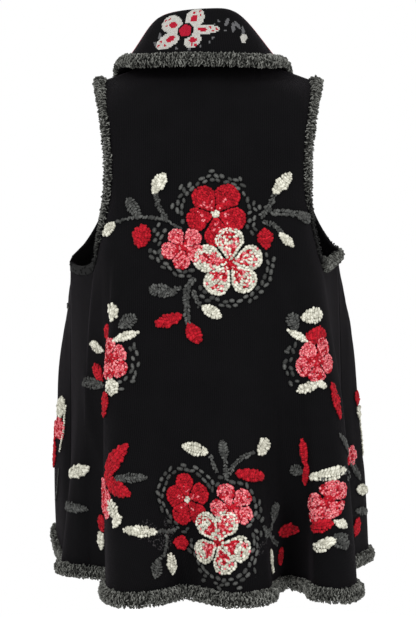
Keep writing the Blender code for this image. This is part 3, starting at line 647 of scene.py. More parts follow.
class Cloth:
    """One panel: the points of its middle surface, its normals and its coordinates."""

    def __init__(self, name, grid, outward, depths):
        self.name = name
        self.depths = depths
        self.grid = grid
        self.normal = normals_of(grid, outward)

    def measure(self, middle=None):
        """Works out the length across to each point, from the side seam or a middle column."""
        along = lengths_along(self.grid, 1)
        self.across = along if middle is None else along[:, middle : middle + 1] - along

    def crease(self):
        """Pushes the soft creases into the panel, fading towards its edges."""
        height = crease_height(self.name, self.across, self.depths)
        there = ~np.isnan(self.grid[..., 0])
        inside = there.astype(float)
        for _ in range(5):
            around = np.pad(inside, 1)
            least = np.minimum.reduce(
                [around[1:-1, :-2], around[1:-1, 2:], around[:-2, 1:-1], around[2:, 1:-1]]
            )
            inside = np.minimum(inside, 0.8 * least + 0.2 * inside)
        self.grid = self.grid + self.normal * (height * inside)[..., None]

    def spread(self):
        """Lays the outer face out on a raster, even across and by row down, for quick reading."""
        outer = self.grid + self.normal * WALL / 2
        there = ~np.isnan(outer[..., 0])
        self.first = self.across[there].min()
        wanted = np.arange(self.first, self.across[there].max() + RASTER_STEP, RASTER_STEP)
        table = np.empty((len(outer), len(wanted), 6))
        for row, (points, ups) in enumerate(zip(outer, self.normal)):
            known = there[row]
            order = np.argsort(self.across[row, known])
            at = self.across[row, known][order]
            for k in range(3):
                table[row, :, k] = np.interp(wanted, at, points[known, k][order])
                table[row, :, k + 3] = np.interp(wanted, at, ups[known, k][order])
        self.table = table

    def at(self, across, depth):
        """Points of the outer face and normals at the given places."""
        row = np.interp(depth, self.depths, np.arange(len(self.depths)))
        row = np.clip(row, 0, len(self.depths) - JUST_INSIDE)
        column = (across - self.first) / RASTER_STEP
        column = np.clip(column, 0, self.table.shape[1] - JUST_INSIDE)
        i, j = row.astype(int), column.astype(int)
        f, g = (row - i)[:, None], (column - j)[:, None]
        upper = self.table[i, j] * (1 - g) + self.table[i, j + 1] * g
        lower = self.table[i + 1, j] * (1 - g) + self.table[i + 1, j + 1] * g
        found = upper * (1 - f) + lower * f
        return found[:, :3], unit(found[:, 3:])


def facing_outwards(points, faces):
    """The four-cornered faces of a closed form, turned round together if they face inwards."""
    corners = points[faces]
    volume = 0.0
    for second, third in ((1, 2), (2, 3)):
        fan = np.cross(corners[:, second] - corners[:, 0], corners[:, third] - corners[:, 0])
        volume += (fan * corners[:, 0]).sum()
    return faces[:, ::-1] if volume < 0 else faces


def new_piece(name, points, faces, uv=None, tone=None):
    """Adds a smooth-shaded piece made of four-cornered faces."""
    faces = facing_outwards(points, faces)
    mesh = bpy.data.meshes.new(name)
    mesh.from_pydata(points.tolist(), [], faces.tolist())
    if uv is not None:
        layer = mesh.uv_layers.new(name="cloth")
        numbers = np.empty(len(mesh.loops), int)
        mesh.loops.foreach_get("vertex_index", numbers)
        layer.data.foreach_set("uv", uv[numbers].ravel())
    return finished_piece(name, mesh, tone)


def finished_piece(name, mesh, tone=None):
    """Adds a mesh to the scene as a smooth-shaded piece that stays with the garment."""
    if tone is not None:
        mesh.attributes.new("tone", "FLOAT", "POINT").data.foreach_set("value", tone)
    mesh.shade_smooth()
    made = bpy.data.objects.new(name, mesh)
    bpy.context.scene.collection.objects.link(made)
    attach(made, "root")
    return made


def whole_cells(there, numbers):
    """The grid's four-cornered cells, as numbers of points, where all four corners are there."""
    whole = there[:-1, :-1] & there[:-1, 1:] & there[1:, 1:] & there[1:, :-1]
    corners = (numbers[:-1, :-1], numbers[:-1, 1:], numbers[1:, 1:], numbers[1:, :-1])
    return np.stack(corners, axis=-1)[whole]


def wall_piece(name, outer, inner, uv):
    """A closed wall between two grids of points. Cells with a NaN corner are left out."""
    there = ~np.isnan(outer[..., 0])
    cells = whole_cells(there, np.cumsum(there).reshape(there.shape) - 1)
    edges = np.stack([cells, np.roll(cells, -1, axis=1)], axis=-1).reshape(-1, 2)
    count = int(there.sum())
    lone = ~np.isin(edges[:, 0] * count + edges[:, 1], edges[:, 1] * count + edges[:, 0])
    a, b = edges[lone].T
    rim = np.stack([b, a, a + count, b + count], axis=1)
    faces = np.concatenate([cells, cells[:, ::-1] + count, rim])
    points = np.concatenate([outer[there], inner[there]])
    return new_piece(name, points, faces, np.concatenate([uv[there], uv[there]]))


def surface_tree(panels):
    """A search tree over the outer faces of panels, each given as its points and outward sign."""
    points, faces = [], []
    for outer, outward in panels:
        there = ~np.isnan(outer[..., 0])
        cells = whole_cells(there, np.arange(there.size).reshape(there.shape) + len(points))
        faces += (cells if outward > 0 else cells[:, ::-1]).tolist()
        points += np.where(there[..., None], outer, 0).reshape(-1, 3).tolist()
    return BVHTree.FromPolygons([Vector(p) for p in points], faces)


def pile_rings(edge, inward, normal, tree, fullness):
    """Rings of the pile edging: its cross-section set on the cloth at each point of an edge."""
    rings = []
    for at, way, up, full in zip(edge, inward, normal, fullness):
        ring = []
        for distance, height in PILE_SECTION:
            spot = Vector(at + way * distance + up * WALL / 2)
            if distance > 0:
                spot = tree.find_nearest(spot)[0]
            ring.append(np.array(spot) + up * (SEAT_GAP + height * full))
        rings.append(ring)
    return np.array(rings)


def loop_shape(sides=3, parts=4):
    """One loop of pile yarn as a bent tube: its points in a unit frame and its faces."""
    turns = np.linspace(-0.15, 1.15, parts + 1) * np.pi
    ring = np.arange(sides) * 2 * np.pi / sides
    path = np.stack([-np.cos(turns) * 0.5, 0.45 + np.sin(turns) * 0.55], axis=1)
    bow = np.stack([-np.cos(turns), np.sin(turns)], axis=1)
    faces = []
    for i in range(parts):
        for j in range(sides):
            k = (j + 1) % sides
            faces.append([i * sides + j, i * sides + k, (i + 1) * sides + k, (i + 1) * sides + j])
    return path, bow, ring, np.array(faces)


def loop_roots(rings, closed, rng, fullness, trimmed):
    """Where the loops of pile stand: roots, ways up, ways onward along the edge, and fullness.

    Where trimmed gives a ring, no loop from there on hangs over the cloth's own edge.
    """
    section = rings[:, [2, 3, 4, 5, 0]]
    if closed:
        section = np.concatenate([section, section[:1]])
        fullness = np.append(fullness, fullness[0])
    run = running_length(section[:, 2])
    girth = np.linalg.norm(np.diff(section, axis=1), axis=2).mean(0)
    round_it = np.concatenate([[0], np.cumsum(girth)])
    along = np.arange(LOOP_SPACING / 2, run[-1], LOOP_SPACING)
    over = np.arange(LOOP_SPACING * 0.4, round_it[-1], LOOP_SPACING)
    u, v = np.meshgrid(along, over, indexing="ij")
    u = (u + rng.uniform(-LOOP_SCATTER, LOOP_SCATTER, u.shape) * LOOP_SPACING).ravel()
    v = (v + rng.uniform(-LOOP_SCATTER, LOOP_SCATTER, v.shape) * LOOP_SPACING).ravel()
    whole = run[-1] if trimmed is None else run[trimmed]
    kept = (u < whole) | (v < round_it[3] - LOOP_SPACING / 2)
    kept &= rng.uniform(0, 1, len(u)) < np.interp(u, run, fullness)
    u, v = u[kept], v[kept]
    full = np.interp(u, run, fullness)
    row = np.clip(np.interp(u, run, np.arange(len(run))), 0, len(run) - JUST_INSIDE)
    column = np.interp(v, round_it, np.arange(len(round_it)))
    column = np.clip(column, 0, len(round_it) - JUST_INSIDE)
    i, j = row.astype(int), column.astype(int)
    f, g = (row - i)[:, None], (column - j)[:, None]
    near = section[i, j] * (1 - g) + section[i, j + 1] * g
    far = section[i + 1, j] * (1 - g) + section[i + 1, j + 1] * g
    root = near * (1 - f) + far * f
    onward = unit(far - near + TINY)
    aside = unit(section[i, j + 1] - section[i, j])
    up = unit(np.cross(onward, aside))
    middle = rings.mean(1)
    heart = middle[np.minimum(i, len(middle) - 1)]
    up *= np.sign(((root - heart) * up).sum(1, keepdims=True))
    up = unit((1 - LOOP_FAN) * up + LOOP_FAN * unit(root - heart))
    return root, unit(up + rng.normal(0, LOOP_TILT, up.shape)), onward, full


def loops_over(rings, closed, rng, fullness, trimmed):
    """Loops of yarn all over the upper sides of the pile edging: points, faces and tones.

    Where the fullness of the rings is below 1 the loops are fewer and flatter, and painted darker
    as painted shade.
    """
    root, up, onward, full = loop_roots(rings, closed, rng, fullness, trimmed)
    heading = rng.normal(np.pi / 2, LOOP_TURN, len(root))
    across = unit(np.cross(up, onward))
    lengthwise = np.cross(across, up)
    way = lengthwise * np.cos(heading)[:, None] + across * np.sin(heading)[:, None]
    third = np.cross(up, way)
    path, bow, ring, faces = loop_shape()
    width = rng.uniform(*LOOP_WIDTHS, len(root))
    height = LOOP_HEIGHT * full * rng.uniform(0.7, 1.25, len(root))
    yarn = LOOP_YARN * rng.uniform(0.8, 1.25, len(root))
    lean = rng.normal(0, LOOP_LEAN, len(root))
    points = np.empty((len(root), len(path), len(ring), 3))
    for p in range(len(path)):
        spine = root + way * (path[p, 0] * width)[:, None] + up * (path[p, 1] * height)[:, None]
        spine = spine + third * (lean * path[p, 1])[:, None]
        out = way * bow[p, 0] + up * bow[p, 1]
        for r in range(len(ring)):
            around = out * np.cos(ring[r]) + third * np.sin(ring[r])
            points[:, p, r] = spine + around * yarn[:, None]
    size = len(path) * len(ring)
    faces = (faces[None] + np.arange(len(root))[:, None, None] * size).reshape(-1, 4)
    tone = np.repeat(rng.uniform(0, 1, len(root)), size)
    # The tops of the loops are painted paler than their feet, as painted light and shade
    tone = tone * 0.55 + 0.45 * np.tile(np.repeat(np.clip(path[:, 1], 0, 1), len(ring)), len(root))
    full = np.repeat(full, size)
    # Loops of thinned pile are painted darker, as painted shade
    return points.reshape(-1, 3), faces, tone * full + SHADED_LOOP_TONE * (1 - full)


def tube_faces(count, sides, closed):
    """Faces of a tube through rings, its open ends capped with fans of four-cornered faces."""
    faces = []
    for i in range(count if closed else count - 1):
        k = (i + 1) % count
        for j in range(sides):
            m = (j + 1) % sides
            faces.append([i * sides + j, i * sides + m, k * sides + m, k * sides + j])
    if not closed:
        last = (count - 1) * sides
        faces += [[3, 2, 1, 0], [5, 4, 3, 0]]
        faces += [[last, last + 1, last + 2, last + 3], [last, last + 3, last + 4, last + 5]]
    return np.array(faces)


def add_pile(name, edge, inward, normal, tree, closed, rng, fullness=None, trimmed=None):
    """Adds a strip of looped pile along a path of edge points."""
    if fullness is None:
        fullness = np.ones(len(edge))
    ends = [0, -1]
    own_inward, own_normal = inward[ends], normal[ends]
    inward = square_to_path(edge, unit(smoothed(inward, closed, 6)), closed)
    normal = unit(smoothed(normal, closed, 6))
    if not closed:
        inward[ends], normal[ends] = own_inward, own_normal
    normal = unit(normal - inward * (normal * inward).sum(1, keepdims=True))
    rings = pile_rings(edge, inward, normal, tree, fullness)
    base = rings.reshape(-1, 3)
    faces = facing_outwards(base, tube_faces(len(rings), PILE_CORNERS, closed))
    points, loop_faces, tone = loops_over(rings, closed, rng, fullness, trimmed)
    # The strip under thinned pile is painted darker, as painted shade
    base_tone = np.repeat(BASE_TONE - THIN_PILE_SHADE * (1 - fullness), PILE_CORNERS)
    made = new_piece(
        name,
        np.concatenate([base, points]),
        np.concatenate([faces, loop_faces + len(base)]),
        tone=np.concatenate([base_tone, tone]),
    )
    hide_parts(name)
    return made


# Yarn stitches, gathered by colour before they are made
YARN_SIZES = {
    # yarn: length, width and height of a stitch, in metres
    "crimson": (0.0068, 0.0060, 0.0040),
    "pink": (0.0064, 0.0058, 0.0040),
    "cream": (0.0068, 0.0060, 0.0046),
    "grey": (0.0066, 0.0046, 0.0036),
}
stitches = {yarn: [] for yarn in YARN_SIZES}
rng = np.random.default_rng(20)

OVAL_POINTS = 121
LEAST_HALF_WIDTH = 0.0002
STITCH_OVERLAP = 0.80  # from one stitch to the next, as a share of its length
LOOK_AHEAD = 0.0005  # along an outline, to read its heading
MARK_STRAY = 0.0005  # along an outline, in metres
SPOT_STRAY = 0.0004
LIE_STRAY = 0.33  # in radians


def sew(yarn, panel, across, depth, heading, size=1.0):
    """Puts one stitch on a panel. heading is counter-clockwise from the right as seen."""
    hand = ACROSS_SIGNS[panel]
    length, width, height = np.array(YARN_SIZES[yarn]) * size * rng.uniform(0.85, 1.18, 3)
    height *= min(size, 1.1) / size
    reach_across = hand * np.cos(heading) * length / 2
    reach_down = -np.sin(heading) * length / 2
    start = (across - reach_across, depth - reach_down)
    end = (across + reach_across, depth + reach_down)
    stitches[yarn].append((panel, *start, *end, width, height))


def place_at(panel, across, depth, heading, along, aside):
    """Place that lies along a heading and aside from it, seen from behind the panel."""
    hand = ACROSS_SIGNS[panel]
    right = along * np.cos(heading) - aside * np.sin(heading)
    above = along * np.sin(heading) + aside * np.cos(heading)
    return across + hand * right, depth - above


def oval_rows(panel, across, depth, heading, length, width, taper, choose, step, wedge=None):
    """Fills an oval with rows of stitches that follow its outline.

    taper widens it towards its tip, or narrows it where it is below 0. wedge holds how far the
    oval's middle lies from the flower's and how fast the room between two petals grows from there.
    choose gives the yarn from how far along the stitch lies, 0 at the foot and 1 at the tip, and
    how many rows in from the outline.
    """
    turns = np.linspace(0, 2 * np.pi, OVAL_POINTS)
    row = 0
    while True:
        inset = (row + 0.5) * step
        half_length, half_width = length / 2 - inset, width / 2 - inset
        if half_length <= 0 or half_width < -0.3 * step:
            break
        half_width = max(half_width, LEAST_HALF_WIDTH)
        outline = np.stack([np.cos(turns) * half_length, np.sin(turns) * half_width], axis=1)
        outline[:, 1] *= 1 + taper * np.cos(turns)
        if wedge is not None:
            room = (wedge[0] + outline[:, 0]) * wedge[1] - inset
            outline[:, 1] = np.clip(outline[:, 1], -np.maximum(room, 0), np.maximum(room, 0))
        lengths = running_length(outline)
        stitch = YARN_SIZES[choose(0.5, 0)][0]
        count = max(2, int(round(lengths[-1] / (stitch * STITCH_OVERLAP))))
        marks = (np.arange(count) + rng.uniform(0, 1)) / count * lengths[-1]
        marks = (marks + rng.normal(0, MARK_STRAY, count)) % lengths[-1]
        for mark in marks:
            along, aside = (np.interp(mark, lengths, outline[:, k]) for k in (0, 1))
            further = (mark + LOOK_AHEAD) % lengths[-1]
            ahead = np.interp(further, lengths, outline[:, 0]) - along
            beside = np.interp(further, lengths, outline[:, 1]) - aside
            lie = heading + np.arctan2(beside, ahead) + rng.normal(0, LIE_STRAY)
            shift = rng.normal(0, SPOT_STRAY, 2)
            spot = place_at(panel, across, depth, heading, along + shift[0], aside + shift[1])
            sew(choose(0.5 + along / length, row), panel, *spot, lie)
        row += 1


def crimson_petal(along, row):
    if 0.10 < along < 0.50 and row > 0 and rng.uniform() < 0.22:
        return "pink"
    return "crimson"


def pink_petal(along, row):
    return "crimson" if rng.uniform() < 0.06 + 0.36 * (1 - along) else "pink"


def cream_petal(along, row):
    """Cream with crimson and pink at its foot, and blotches of them further out."""
    draw = rng.uniform()
    if row >= 1 and along < 0.50 and draw < 0.86:
        return "crimson" if draw < 0.46 else "pink"
    if row >= 2 and along < 0.86 and draw < 0.50:
        return "crimson" if draw < 0.18 else "pink"
    return "pink" if draw < 0.08 else "cream"


FLOWER_KINDS = {
    # petal colours, petal width as a share of the radius, how far petals widen towards their
    # tips, centre's yarn and its share of the radius
    "crimson": (crimson_petal, 0.76, 0.16, "cream", 0.12),
    "pink": (pink_petal, 0.78, 0.20, "crimson", 0.13),
    "rose": (pink_petal, 0.86, 0.20, "crimson", 0.28),
    "cream": (cream_petal, 0.72, 0.34, "crimson", 0.19),
}
PETALS = 5
PETAL_FOOT = 0.08  # where a petal starts, as a share of the radius
PETAL_GAP = 0.055  # black cloth that shows between two petals, as a share of the radius
PETAL_LENGTHS = (0.90, 1.04)
PETAL_WIDTHS = (0.92, 1.06)
PETAL_STEP = 0.0036  # between the rows of stitches
CENTRE_STEP = 0.0032
LEAF_STEPS = {"crimson": 0.0036, "cream": 0.0044, "grey": 0.0042}  # between stitches
VEIN_STEP = 0.0048
LEAF_STITCH = 0.0052  # room that a stitch of size 1 fills in a leaf
PATH_POINTS = 40
STEM_STEP = 0.0044
STEM_STITCH = 0.0046  # width of a stem with stitches of size 1
BROAD_STEM = 0.0065  # from this width on, two stitches lie side by side
FRINGE_STEP = 0.0046
ARC_START = 0.006  # from the petals to the first arc of seed stitches
ARC_STEP = 0.0095
ARC_SPACING = 0.0125
DEGREES = 57.3  # in a radian
HALO_START = 0.0038  # from the petals to the first ring of seed stitches
HALO_STEP = 0.0080
HALO_CHANCES = (1.0, 0.90, 0.32)  # of each seed stitch in a ring, from the first one outwards
HALO_OVERLAP = 0.0025  # how far the rings of two flowers may run into each other
SEED_SPACING = 0.0124
LEAF_ROOM = 0.005  # bare cloth between a seed stitch and a leaf
STEM_ROOM = 0.0085
STEM_MARKS = 12
FAR_OFF = 9.0  # a place off the cloth, before the first seed stitch


def add_flower(panel, kind, across, depth, radius, turn):
    """Sews one flower of separate petals round a small knotted centre."""
    choose, breadth, taper, centre_yarn, centre_share = FLOWER_KINDS[kind]
    foot = radius * PETAL_FOOT
    for k in range(PETALS):
        heading = np.radians(turn + 360 * k / PETALS + rng.normal(0, 2.5))
        length = (radius - foot) * rng.uniform(*PETAL_LENGTHS)
        width = radius * breadth * rng.uniform(*PETAL_WIDTHS)
        middle = foot + length / 2
        spot = place_at(panel, across, depth, heading, middle, 0)
        wedge = (middle - PETAL_GAP * radius, np.tan(np.pi / PETALS))
        oval_rows(panel, *spot, heading, length, width, taper, choose, PETAL_STEP, wedge)
    size = 2 * radius * centre_share

    def knot(along, row):
        return centre_yarn

    oval_rows(panel, across, depth, 0.4, size, size * 0.9, 0, knot, CENTRE_STEP)


def add_leaf(panel, yarn, across, depth, length, width, turn):
    """Sews one leaf or bud: plump stitches that slant out from its vein on both sides."""
    heading = np.radians(turn)
    reach = YARN_SIZES[yarn][0]
    for along in np.arange(0.0025, length - 0.0010, LEAF_STEPS[yarn]):
        half = width / 2 * np.sin(np.pi * np.clip(along / length, 0.10, 0.94) ** 0.85) ** 0.6
        half *= rng.uniform(0.85, 1.12)
        rows = max(1, int(round(half / (0.80 * reach))))
        for side in (1, -1):
            slant = rng.normal(0.95, 0.16)
            for k in range(rows):
                out = half * (k + 0.5) / rows
                aside = side * (out + rng.normal(0, 0.0003))
                onward = along - length / 2 + 0.45 * out * np.cos(slant) + rng.normal(0, 0.0004)
                spot = place_at(panel, across, depth, heading, onward, aside)
                size = min(1.25, half / rows / LEAF_STITCH)
                sew(yarn, panel, *spot, heading + side * slant, size)
    for along in np.arange(-0.5, 0.5, VEIN_STEP / length) * length:
        spot = place_at(panel, across, depth, heading, along, rng.normal(0, 0.0003))
        sew(yarn, panel, *spot, heading + rng.normal(0, 0.2), 0.95)


def smooth_path(places):
    """The smooth path through places on the cloth, and the length along it to each point."""
    places = np.array(places)
    lengths = running_length(places)
    if len(places) == 2:
        return places, lengths
    fine = np.linspace(0, lengths[-1], PATH_POINTS)
    return through(lengths, places, fine), fine


def add_stem(panel, width, places):
    """Sews a stem of plump stitches, side by side where the stem is broad."""
    places, lengths = smooth_path(places)
    hand = ACROSS_SIGNS[panel]
    columns = 2 if width > BROAD_STEM else 1
    for mark in np.arange(0.0015, lengths[-1], STEM_STEP):
        across, depth = (np.interp(mark, lengths, places[:, k]) for k in (0, 1))
        ahead, below = (np.interp(mark + 0.002, lengths, places[:, k]) for k in (0, 1))
        heading = np.arctan2(depth - below, (ahead - across) * hand)
        for column in range(columns):
            side = 2 * column - 1 if columns == 2 else rng.choice((1, -1))
            aside = (columns - 1) * side * width * 0.26 + rng.normal(0, 0.0008)
            spot = place_at(panel, across, depth, heading, rng.normal(0, 0.0008), aside)
            lie = heading + side * rng.normal(0.70, 0.42)
            size = max(0.9, width / columns / STEM_STITCH) * rng.uniform(0.85, 1.30)
            sew("grey", panel, *spot, lie, size)


def add_fringe(panel, yarn, places):
    """Sews a row of small scallops along a line, as on the outline of a flower seen edge-on."""
    places, lengths = smooth_path(places)
    for mark in np.arange(0.001, lengths[-1], FRINGE_STEP):
        across, depth = (np.interp(mark, lengths, places[:, k]) for k in (0, 1))
        sew(yarn, panel, across, depth, rng.normal(0.3, 0.6), 0.85)


def add_seeds(panel, across, depth, radius, first, last):
    """Sews two arcs of seed stitches beside a flower, between two headings in degrees."""
    for ring in range(2):
        reach = radius + ARC_START + ARC_STEP * ring
        for heading in np.arange(first, last, DEGREES * ARC_SPACING / reach):
            angle = np.radians(heading + rng.normal(0, 4))
            spot = place_at(panel, across, depth, angle, reach + rng.normal(0, 0.001), 0)
            sew("grey", panel, *spot, angle + np.pi / 2 + rng.normal(0, 0.4), 1.45)


def add_halo(flowers):
    """Sews rings of separate grey seed stitches round a bouquet of flowers on the back."""
    discs = np.array([row[2:5] for row in flowers])
    leaves = np.array([row[2:] for row in LEAVES if row[0] == "back"])
    half_length, half_width = leaves[:, 2] / 2 + LEAF_ROOM, leaves[:, 3] / 2 + LEAF_ROOM
    turn = np.radians(leaves[:, 4])
    stems = []
    for _, _, places in STEMS:
        shares = np.linspace(0, len(places) - 1, STEM_MARKS)
        columns = [np.interp(shares, range(len(places)), column) for column in zip(*places)]
        stems.append(np.column_stack(columns))
    stems = np.concatenate(stems)
    done = np.full((1, 2), FAR_OFF)
    for ring, chance in enumerate(HALO_CHANCES):
        for _, _, across, depth, radius, _ in flowers:
            reach = radius + HALO_START + HALO_STEP * ring
            count = int(2 * np.pi * reach / SEED_SPACING)
            for k in range(count):
                angle = 2 * np.pi * (k + 0.5 * (ring % 2) + rng.normal(0, 0.08)) / count
                spot = place_at("back", across, depth, angle, reach + rng.normal(0, 0.0009), 0)
                clear = np.hypot(*(np.array(spot)[:, None] - discs[:, :2].T)) - discs[:, 2]
                if clear.min() < HALO_START + HALO_STEP * ring - HALO_OVERLAP:
                    continue
                right, above = leaves[:, 0] - spot[0], spot[1] - leaves[:, 1]
                along = right * np.cos(turn) - above * np.sin(turn)
                aside = right * np.sin(turn) + above * np.cos(turn)
                inside = (along / half_length) ** 2 + (aside / half_width) ** 2
                if inside.min() < 1 or np.hypot(*(stems - spot).T).min() < STEM_ROOM:
                    continue
                if np.hypot(*(done - spot).T).min() < 0.62 * SEED_SPACING or rng.uniform() > chance:
                    continue
                done = np.vstack([done, spot])
                sew("grey", "back", *spot, angle + np.pi / 2 + rng.normal(0, 0.4), 1.55)


def stitch_shape(sides=5):
    """One stitch as a plump grain: how far along, aside and up each point lies, and its faces."""
    stations = ((0.07, 0.72), (0.50, 1.00), (0.93, 0.72))
    points = [(-0.02, 0.0, 0.0)]
    for along, girth in stations:
        for k in range(sides):
            angle = 2 * np.pi * k / sides + np.pi / 2
            arch = 0.22 * (1 - (2 * along - 1) ** 2)
            points.append((along, girth * np.cos(angle), girth * np.sin(angle) + arch))
    points.append((1.02, 0.0, 0.0))
    faces = []
    for k in range(sides):
        m = (k + 1) % sides
        faces.append([0, 1 + m, 1 + k, 1 + k])
        for ring in (0, 1):
            low, high = 1 + ring * sides, 1 + (ring + 1) * sides
            faces.append([low + k, low + m, high + m, high + k])
        faces.append([11 + k, 11 + m, 16, 16])
    return np.array(points), faces


def add_yarn(name, panels, rows):
    """Adds all the stitches of one yarn as a single piece."""
    shape, faces = stitch_shape()
    points, tones = [], []
    for panel, cloth in panels.items():
        mine = np.array([row[1:] for row in rows if row[0] == panel])
        if not len(mine):
            continue
        start, _ = cloth.at(mine[:, 0], mine[:, 1])
        end, _ = cloth.at(mine[:, 2], mine[:, 3])
        middle, up = cloth.at((mine[:, 0] + mine[:, 2]) / 2, (mine[:, 1] + mine[:, 3]) / 2)
        run = end - start
        run -= up * (run * up).sum(1, keepdims=True)
        side = unit(np.cross(up, run))
        width, height = mine[:, 4] / 2, mine[:, 5] / 2
        made = middle[:, None] + run[:, None] * (shape[None, :, :1] - 0.5)
        made = made + side[:, None] * (shape[None, :, 1:2] * width[:, None, None])
        made = made + up[:, None] * (shape[None, :, 2:] * height[:, None, None])
        made = made + (up * (height - SINK)[:, None])[:, None]
        points.append(made.reshape(-1, 3))
        own_tone = rng.uniform(0, 1, len(mine))[:, None]
        # Each stitch is painted darker low at its sides and paler on top, as painted shade
        raised = np.clip(0.25 + 0.75 * shape[None, :, 2], 0, 1)
        tones.append((raised * (0.45 + 0.55 * own_tone)).ravel())
    points, tones = np.concatenate(points), np.concatenate(tones)
    count = len(points) // len(shape)
    mesh = bpy.data.meshes.new(name)
    own = [[corner for k, corner in enumerate(face) if corner not in face[:k]] for face in faces]
    every = [[c + n * len(shape) for c in face] for n in range(count) for face in own]
    mesh.from_pydata(points.tolist(), [], every)
    return finished_piece(name, mesh, tones)


class Recipe:
    """A material whose nodes are added one call at a time."""

    def __init__(self, name, roughness, sheen=0.0, sheen_roughness=0.5):
        self.material = bpy.data.materials.new(name)
        self.material.use_nodes = True
        self.nodes = self.material.node_tree.nodes
        self.links = self.material.node_tree.links
        self.shader = self.nodes["Principled BSDF"]
        self.shader.inputs["Roughness"].default_value = roughness
        self.shader.inputs["Specular IOR Level"].default_value = 0.25
        self.shader.inputs["Sheen Weight"].default_value = sheen
        self.shader.inputs["Sheen Roughness"].default_value = sheen_roughness

    def put(self, socket, value):
        """Links a socket's value, or sets a plain one."""
        if isinstance(value, bpy.types.NodeSocket):
            self.links.new(value, socket)
        else:
            socket.default_value = value

    def math(self, operation, a, b=0.0, c=0.0):
        node = self.nodes.new("ShaderNodeMath")
        node.operation = operation
        for socket, value in zip(node.inputs, (a, b, c)):
            self.put(socket, value)
        return node.outputs[0]

    def mix(self, share, first, second):
        """A colour between two others."""
        node = self.nodes.new("ShaderNodeMix")
        node.data_type = "RGBA"
        self.put(node.inputs[0], share)
        for socket, value in ((node.inputs[6], first), (node.inputs[7], second)):
            self.put(socket, (*value, 1.0) if isinstance(value, tuple) else value)
        return node.outputs[2]

    def ramp(self, value, low, high):
        """A value carried from its range low to high onto 0 to 1."""
        node = self.nodes.new("ShaderNodeMapRange")
        node.inputs["From Min"].default_value = low
        node.inputs["From Max"].default_value = high
        self.put(node.inputs["Value"], value)
        return node.outputs[0]

    def noise(self, vector, scale, detail=2.0):
        node = self.nodes.new("ShaderNodeTexNoise")
        node.inputs["Scale"].default_value = scale
        node.inputs["Detail"].default_value = detail
        self.put(node.inputs["Vector"], vector)
        return node.outputs["Fac"]

    def place(self):
        return self.nodes.new("ShaderNodeTexCoord").outputs["Object"]

    def cloth_uv(self):
        """The two cloth coordinates, in metres."""
        node = self.nodes.new("ShaderNodeUVMap")
        node.uv_map = "cloth"
        split = self.nodes.new("ShaderNodeSeparateXYZ")
        self.links.new(node.outputs[0], split.inputs[0])
        return split.outputs[0], split.outputs[1]

    def tone(self):
        node = self.nodes.new("ShaderNodeAttribute")
        node.attribute_name = "tone"
        return node.outputs["Fac"]

    def uneven_tone(self, scale, share):
        """The tone attribute, random tone with painted shade in it, with noise added, so that it
        also varies within a stitch.
        """
        own = self.math("SUBTRACT", self.tone(), share / 2)
        return self.math("MULTIPLY_ADD", self.noise(self.place(), scale), share, own)

    def bump(self, height, strength, distance):
        node = self.nodes.new("ShaderNodeBump")
        node.inputs["Strength"].default_value = strength
        node.inputs["Distance"].default_value = distance
        self.links.new(height, node.inputs["Height"])
        self.links.new(node.outputs[0], self.shader.inputs["Normal"])

    def colour(self, value):
        self.links.new(value, self.shader.inputs["Base Color"])


# The flat flower knitted into the collar, as length round the collar and height, in metres
CELL = 0.0024  # one knitted stitch
COLLAR_FLOWER = np.array([0.040, -0.044])
COLLAR_PETALS = (
    # heading, length, half width
    (28, 0.054, 0.0165),
    (122, 0.047, 0.0180),
    (178, 0.060, 0.0085),
    (232, 0.036, 0.0155),
    (332, 0.056, 0.0145),
)
COLLAR_BUD = (
    # place, heading, half length, half width
    ((-0.058, -0.062), 100, 0.0075, 0.0045),
    ((-0.063, -0.056), 10, 0.0060, 0.0050),
)
COLLAR_SPECKS = (
    ((-0.036, -0.030), 130, 0.0110, 0.0030),
    ((-0.046, -0.040), 110, 0.0100, 0.0034),
    ((-0.056, -0.034), 60, 0.0080, 0.0040),
    ((-0.064, -0.046), 110, 0.0110, 0.0030),
    ((-0.020, -0.028), 0, 0.0022, 0.0022),
    ((-0.012, -0.034), 0, 0.0018, 0.0018),
    ((-0.030, -0.046), 0, 0.0022, 0.0022),
    ((-0.008, -0.058), 0, 0.0022, 0.0022),
    ((-0.002, -0.066), 0, 0.0018, 0.0018),
    ((0.012, -0.074), 0, 0.0020, 0.0020),
    ((0.030, -0.078), 0, 0.0020, 0.0020),
    ((0.052, -0.076), 0, 0.0022, 0.0022),
    ((0.086, -0.052), 75, 0.0100, 0.0030),
    ((0.092, -0.064), 60, 0.0070, 0.0024),
)
# Places near the hem where the felt is rubbed paler
WORN_PATCHES = (
    ((0.135, 0.880), 20, 0.036, 0.017),
    ((0.100, 0.845), 80, 0.022, 0.010),
    ((-0.085, 0.870), 10, 0.020, 0.009),
)
KNIT_WALE = 0.0034
KNIT_COURSE = 0.0026
WOOL_COLOURS = ((0.0012, 0.0012, 0.0014), (0.0026, 0.0025, 0.0029), (0.0044, 0.0042, 0.0047))
WORN_GREY = (0.030, 0.028, 0.029)
KNITTED_GREY = (0.085, 0.085, 0.088)
KNITTED_WHITES = ((0.200, 0.195, 0.180), (0.480, 0.470, 0.435))
KNITTED_REDS = ((0.160, 0.004, 0.012), (0.380, 0.012, 0.030))
TURN_CRIMSON = (0.480, 0.012, 0.040)
PILE_COLOURS = ((0.005, 0.005, 0.005), (0.056, 0.057, 0.051), (0.190, 0.193, 0.176))
PINK_FLECK = (0.800, 0.560, 0.530)


def knit_height(recipe, u, v):
    """Height of plain knitting: columns of small V shapes."""
    wale = recipe.math("DIVIDE", u, KNIT_WALE)
    course = recipe.math("DIVIDE", v, KNIT_COURSE)
    slant = recipe.math("PINGPONG", wale, 0.5)
    slanted = recipe.math("ADD", course, slant)
    wave = recipe.math("SINE", recipe.math("MULTIPLY", slanted, 2 * np.pi))
    column = recipe.math("ABSOLUTE", recipe.math("SINE", recipe.math("MULTIPLY", wale, np.pi)))
    return recipe.math("MULTIPLY_ADD", wave, 0.35, column)


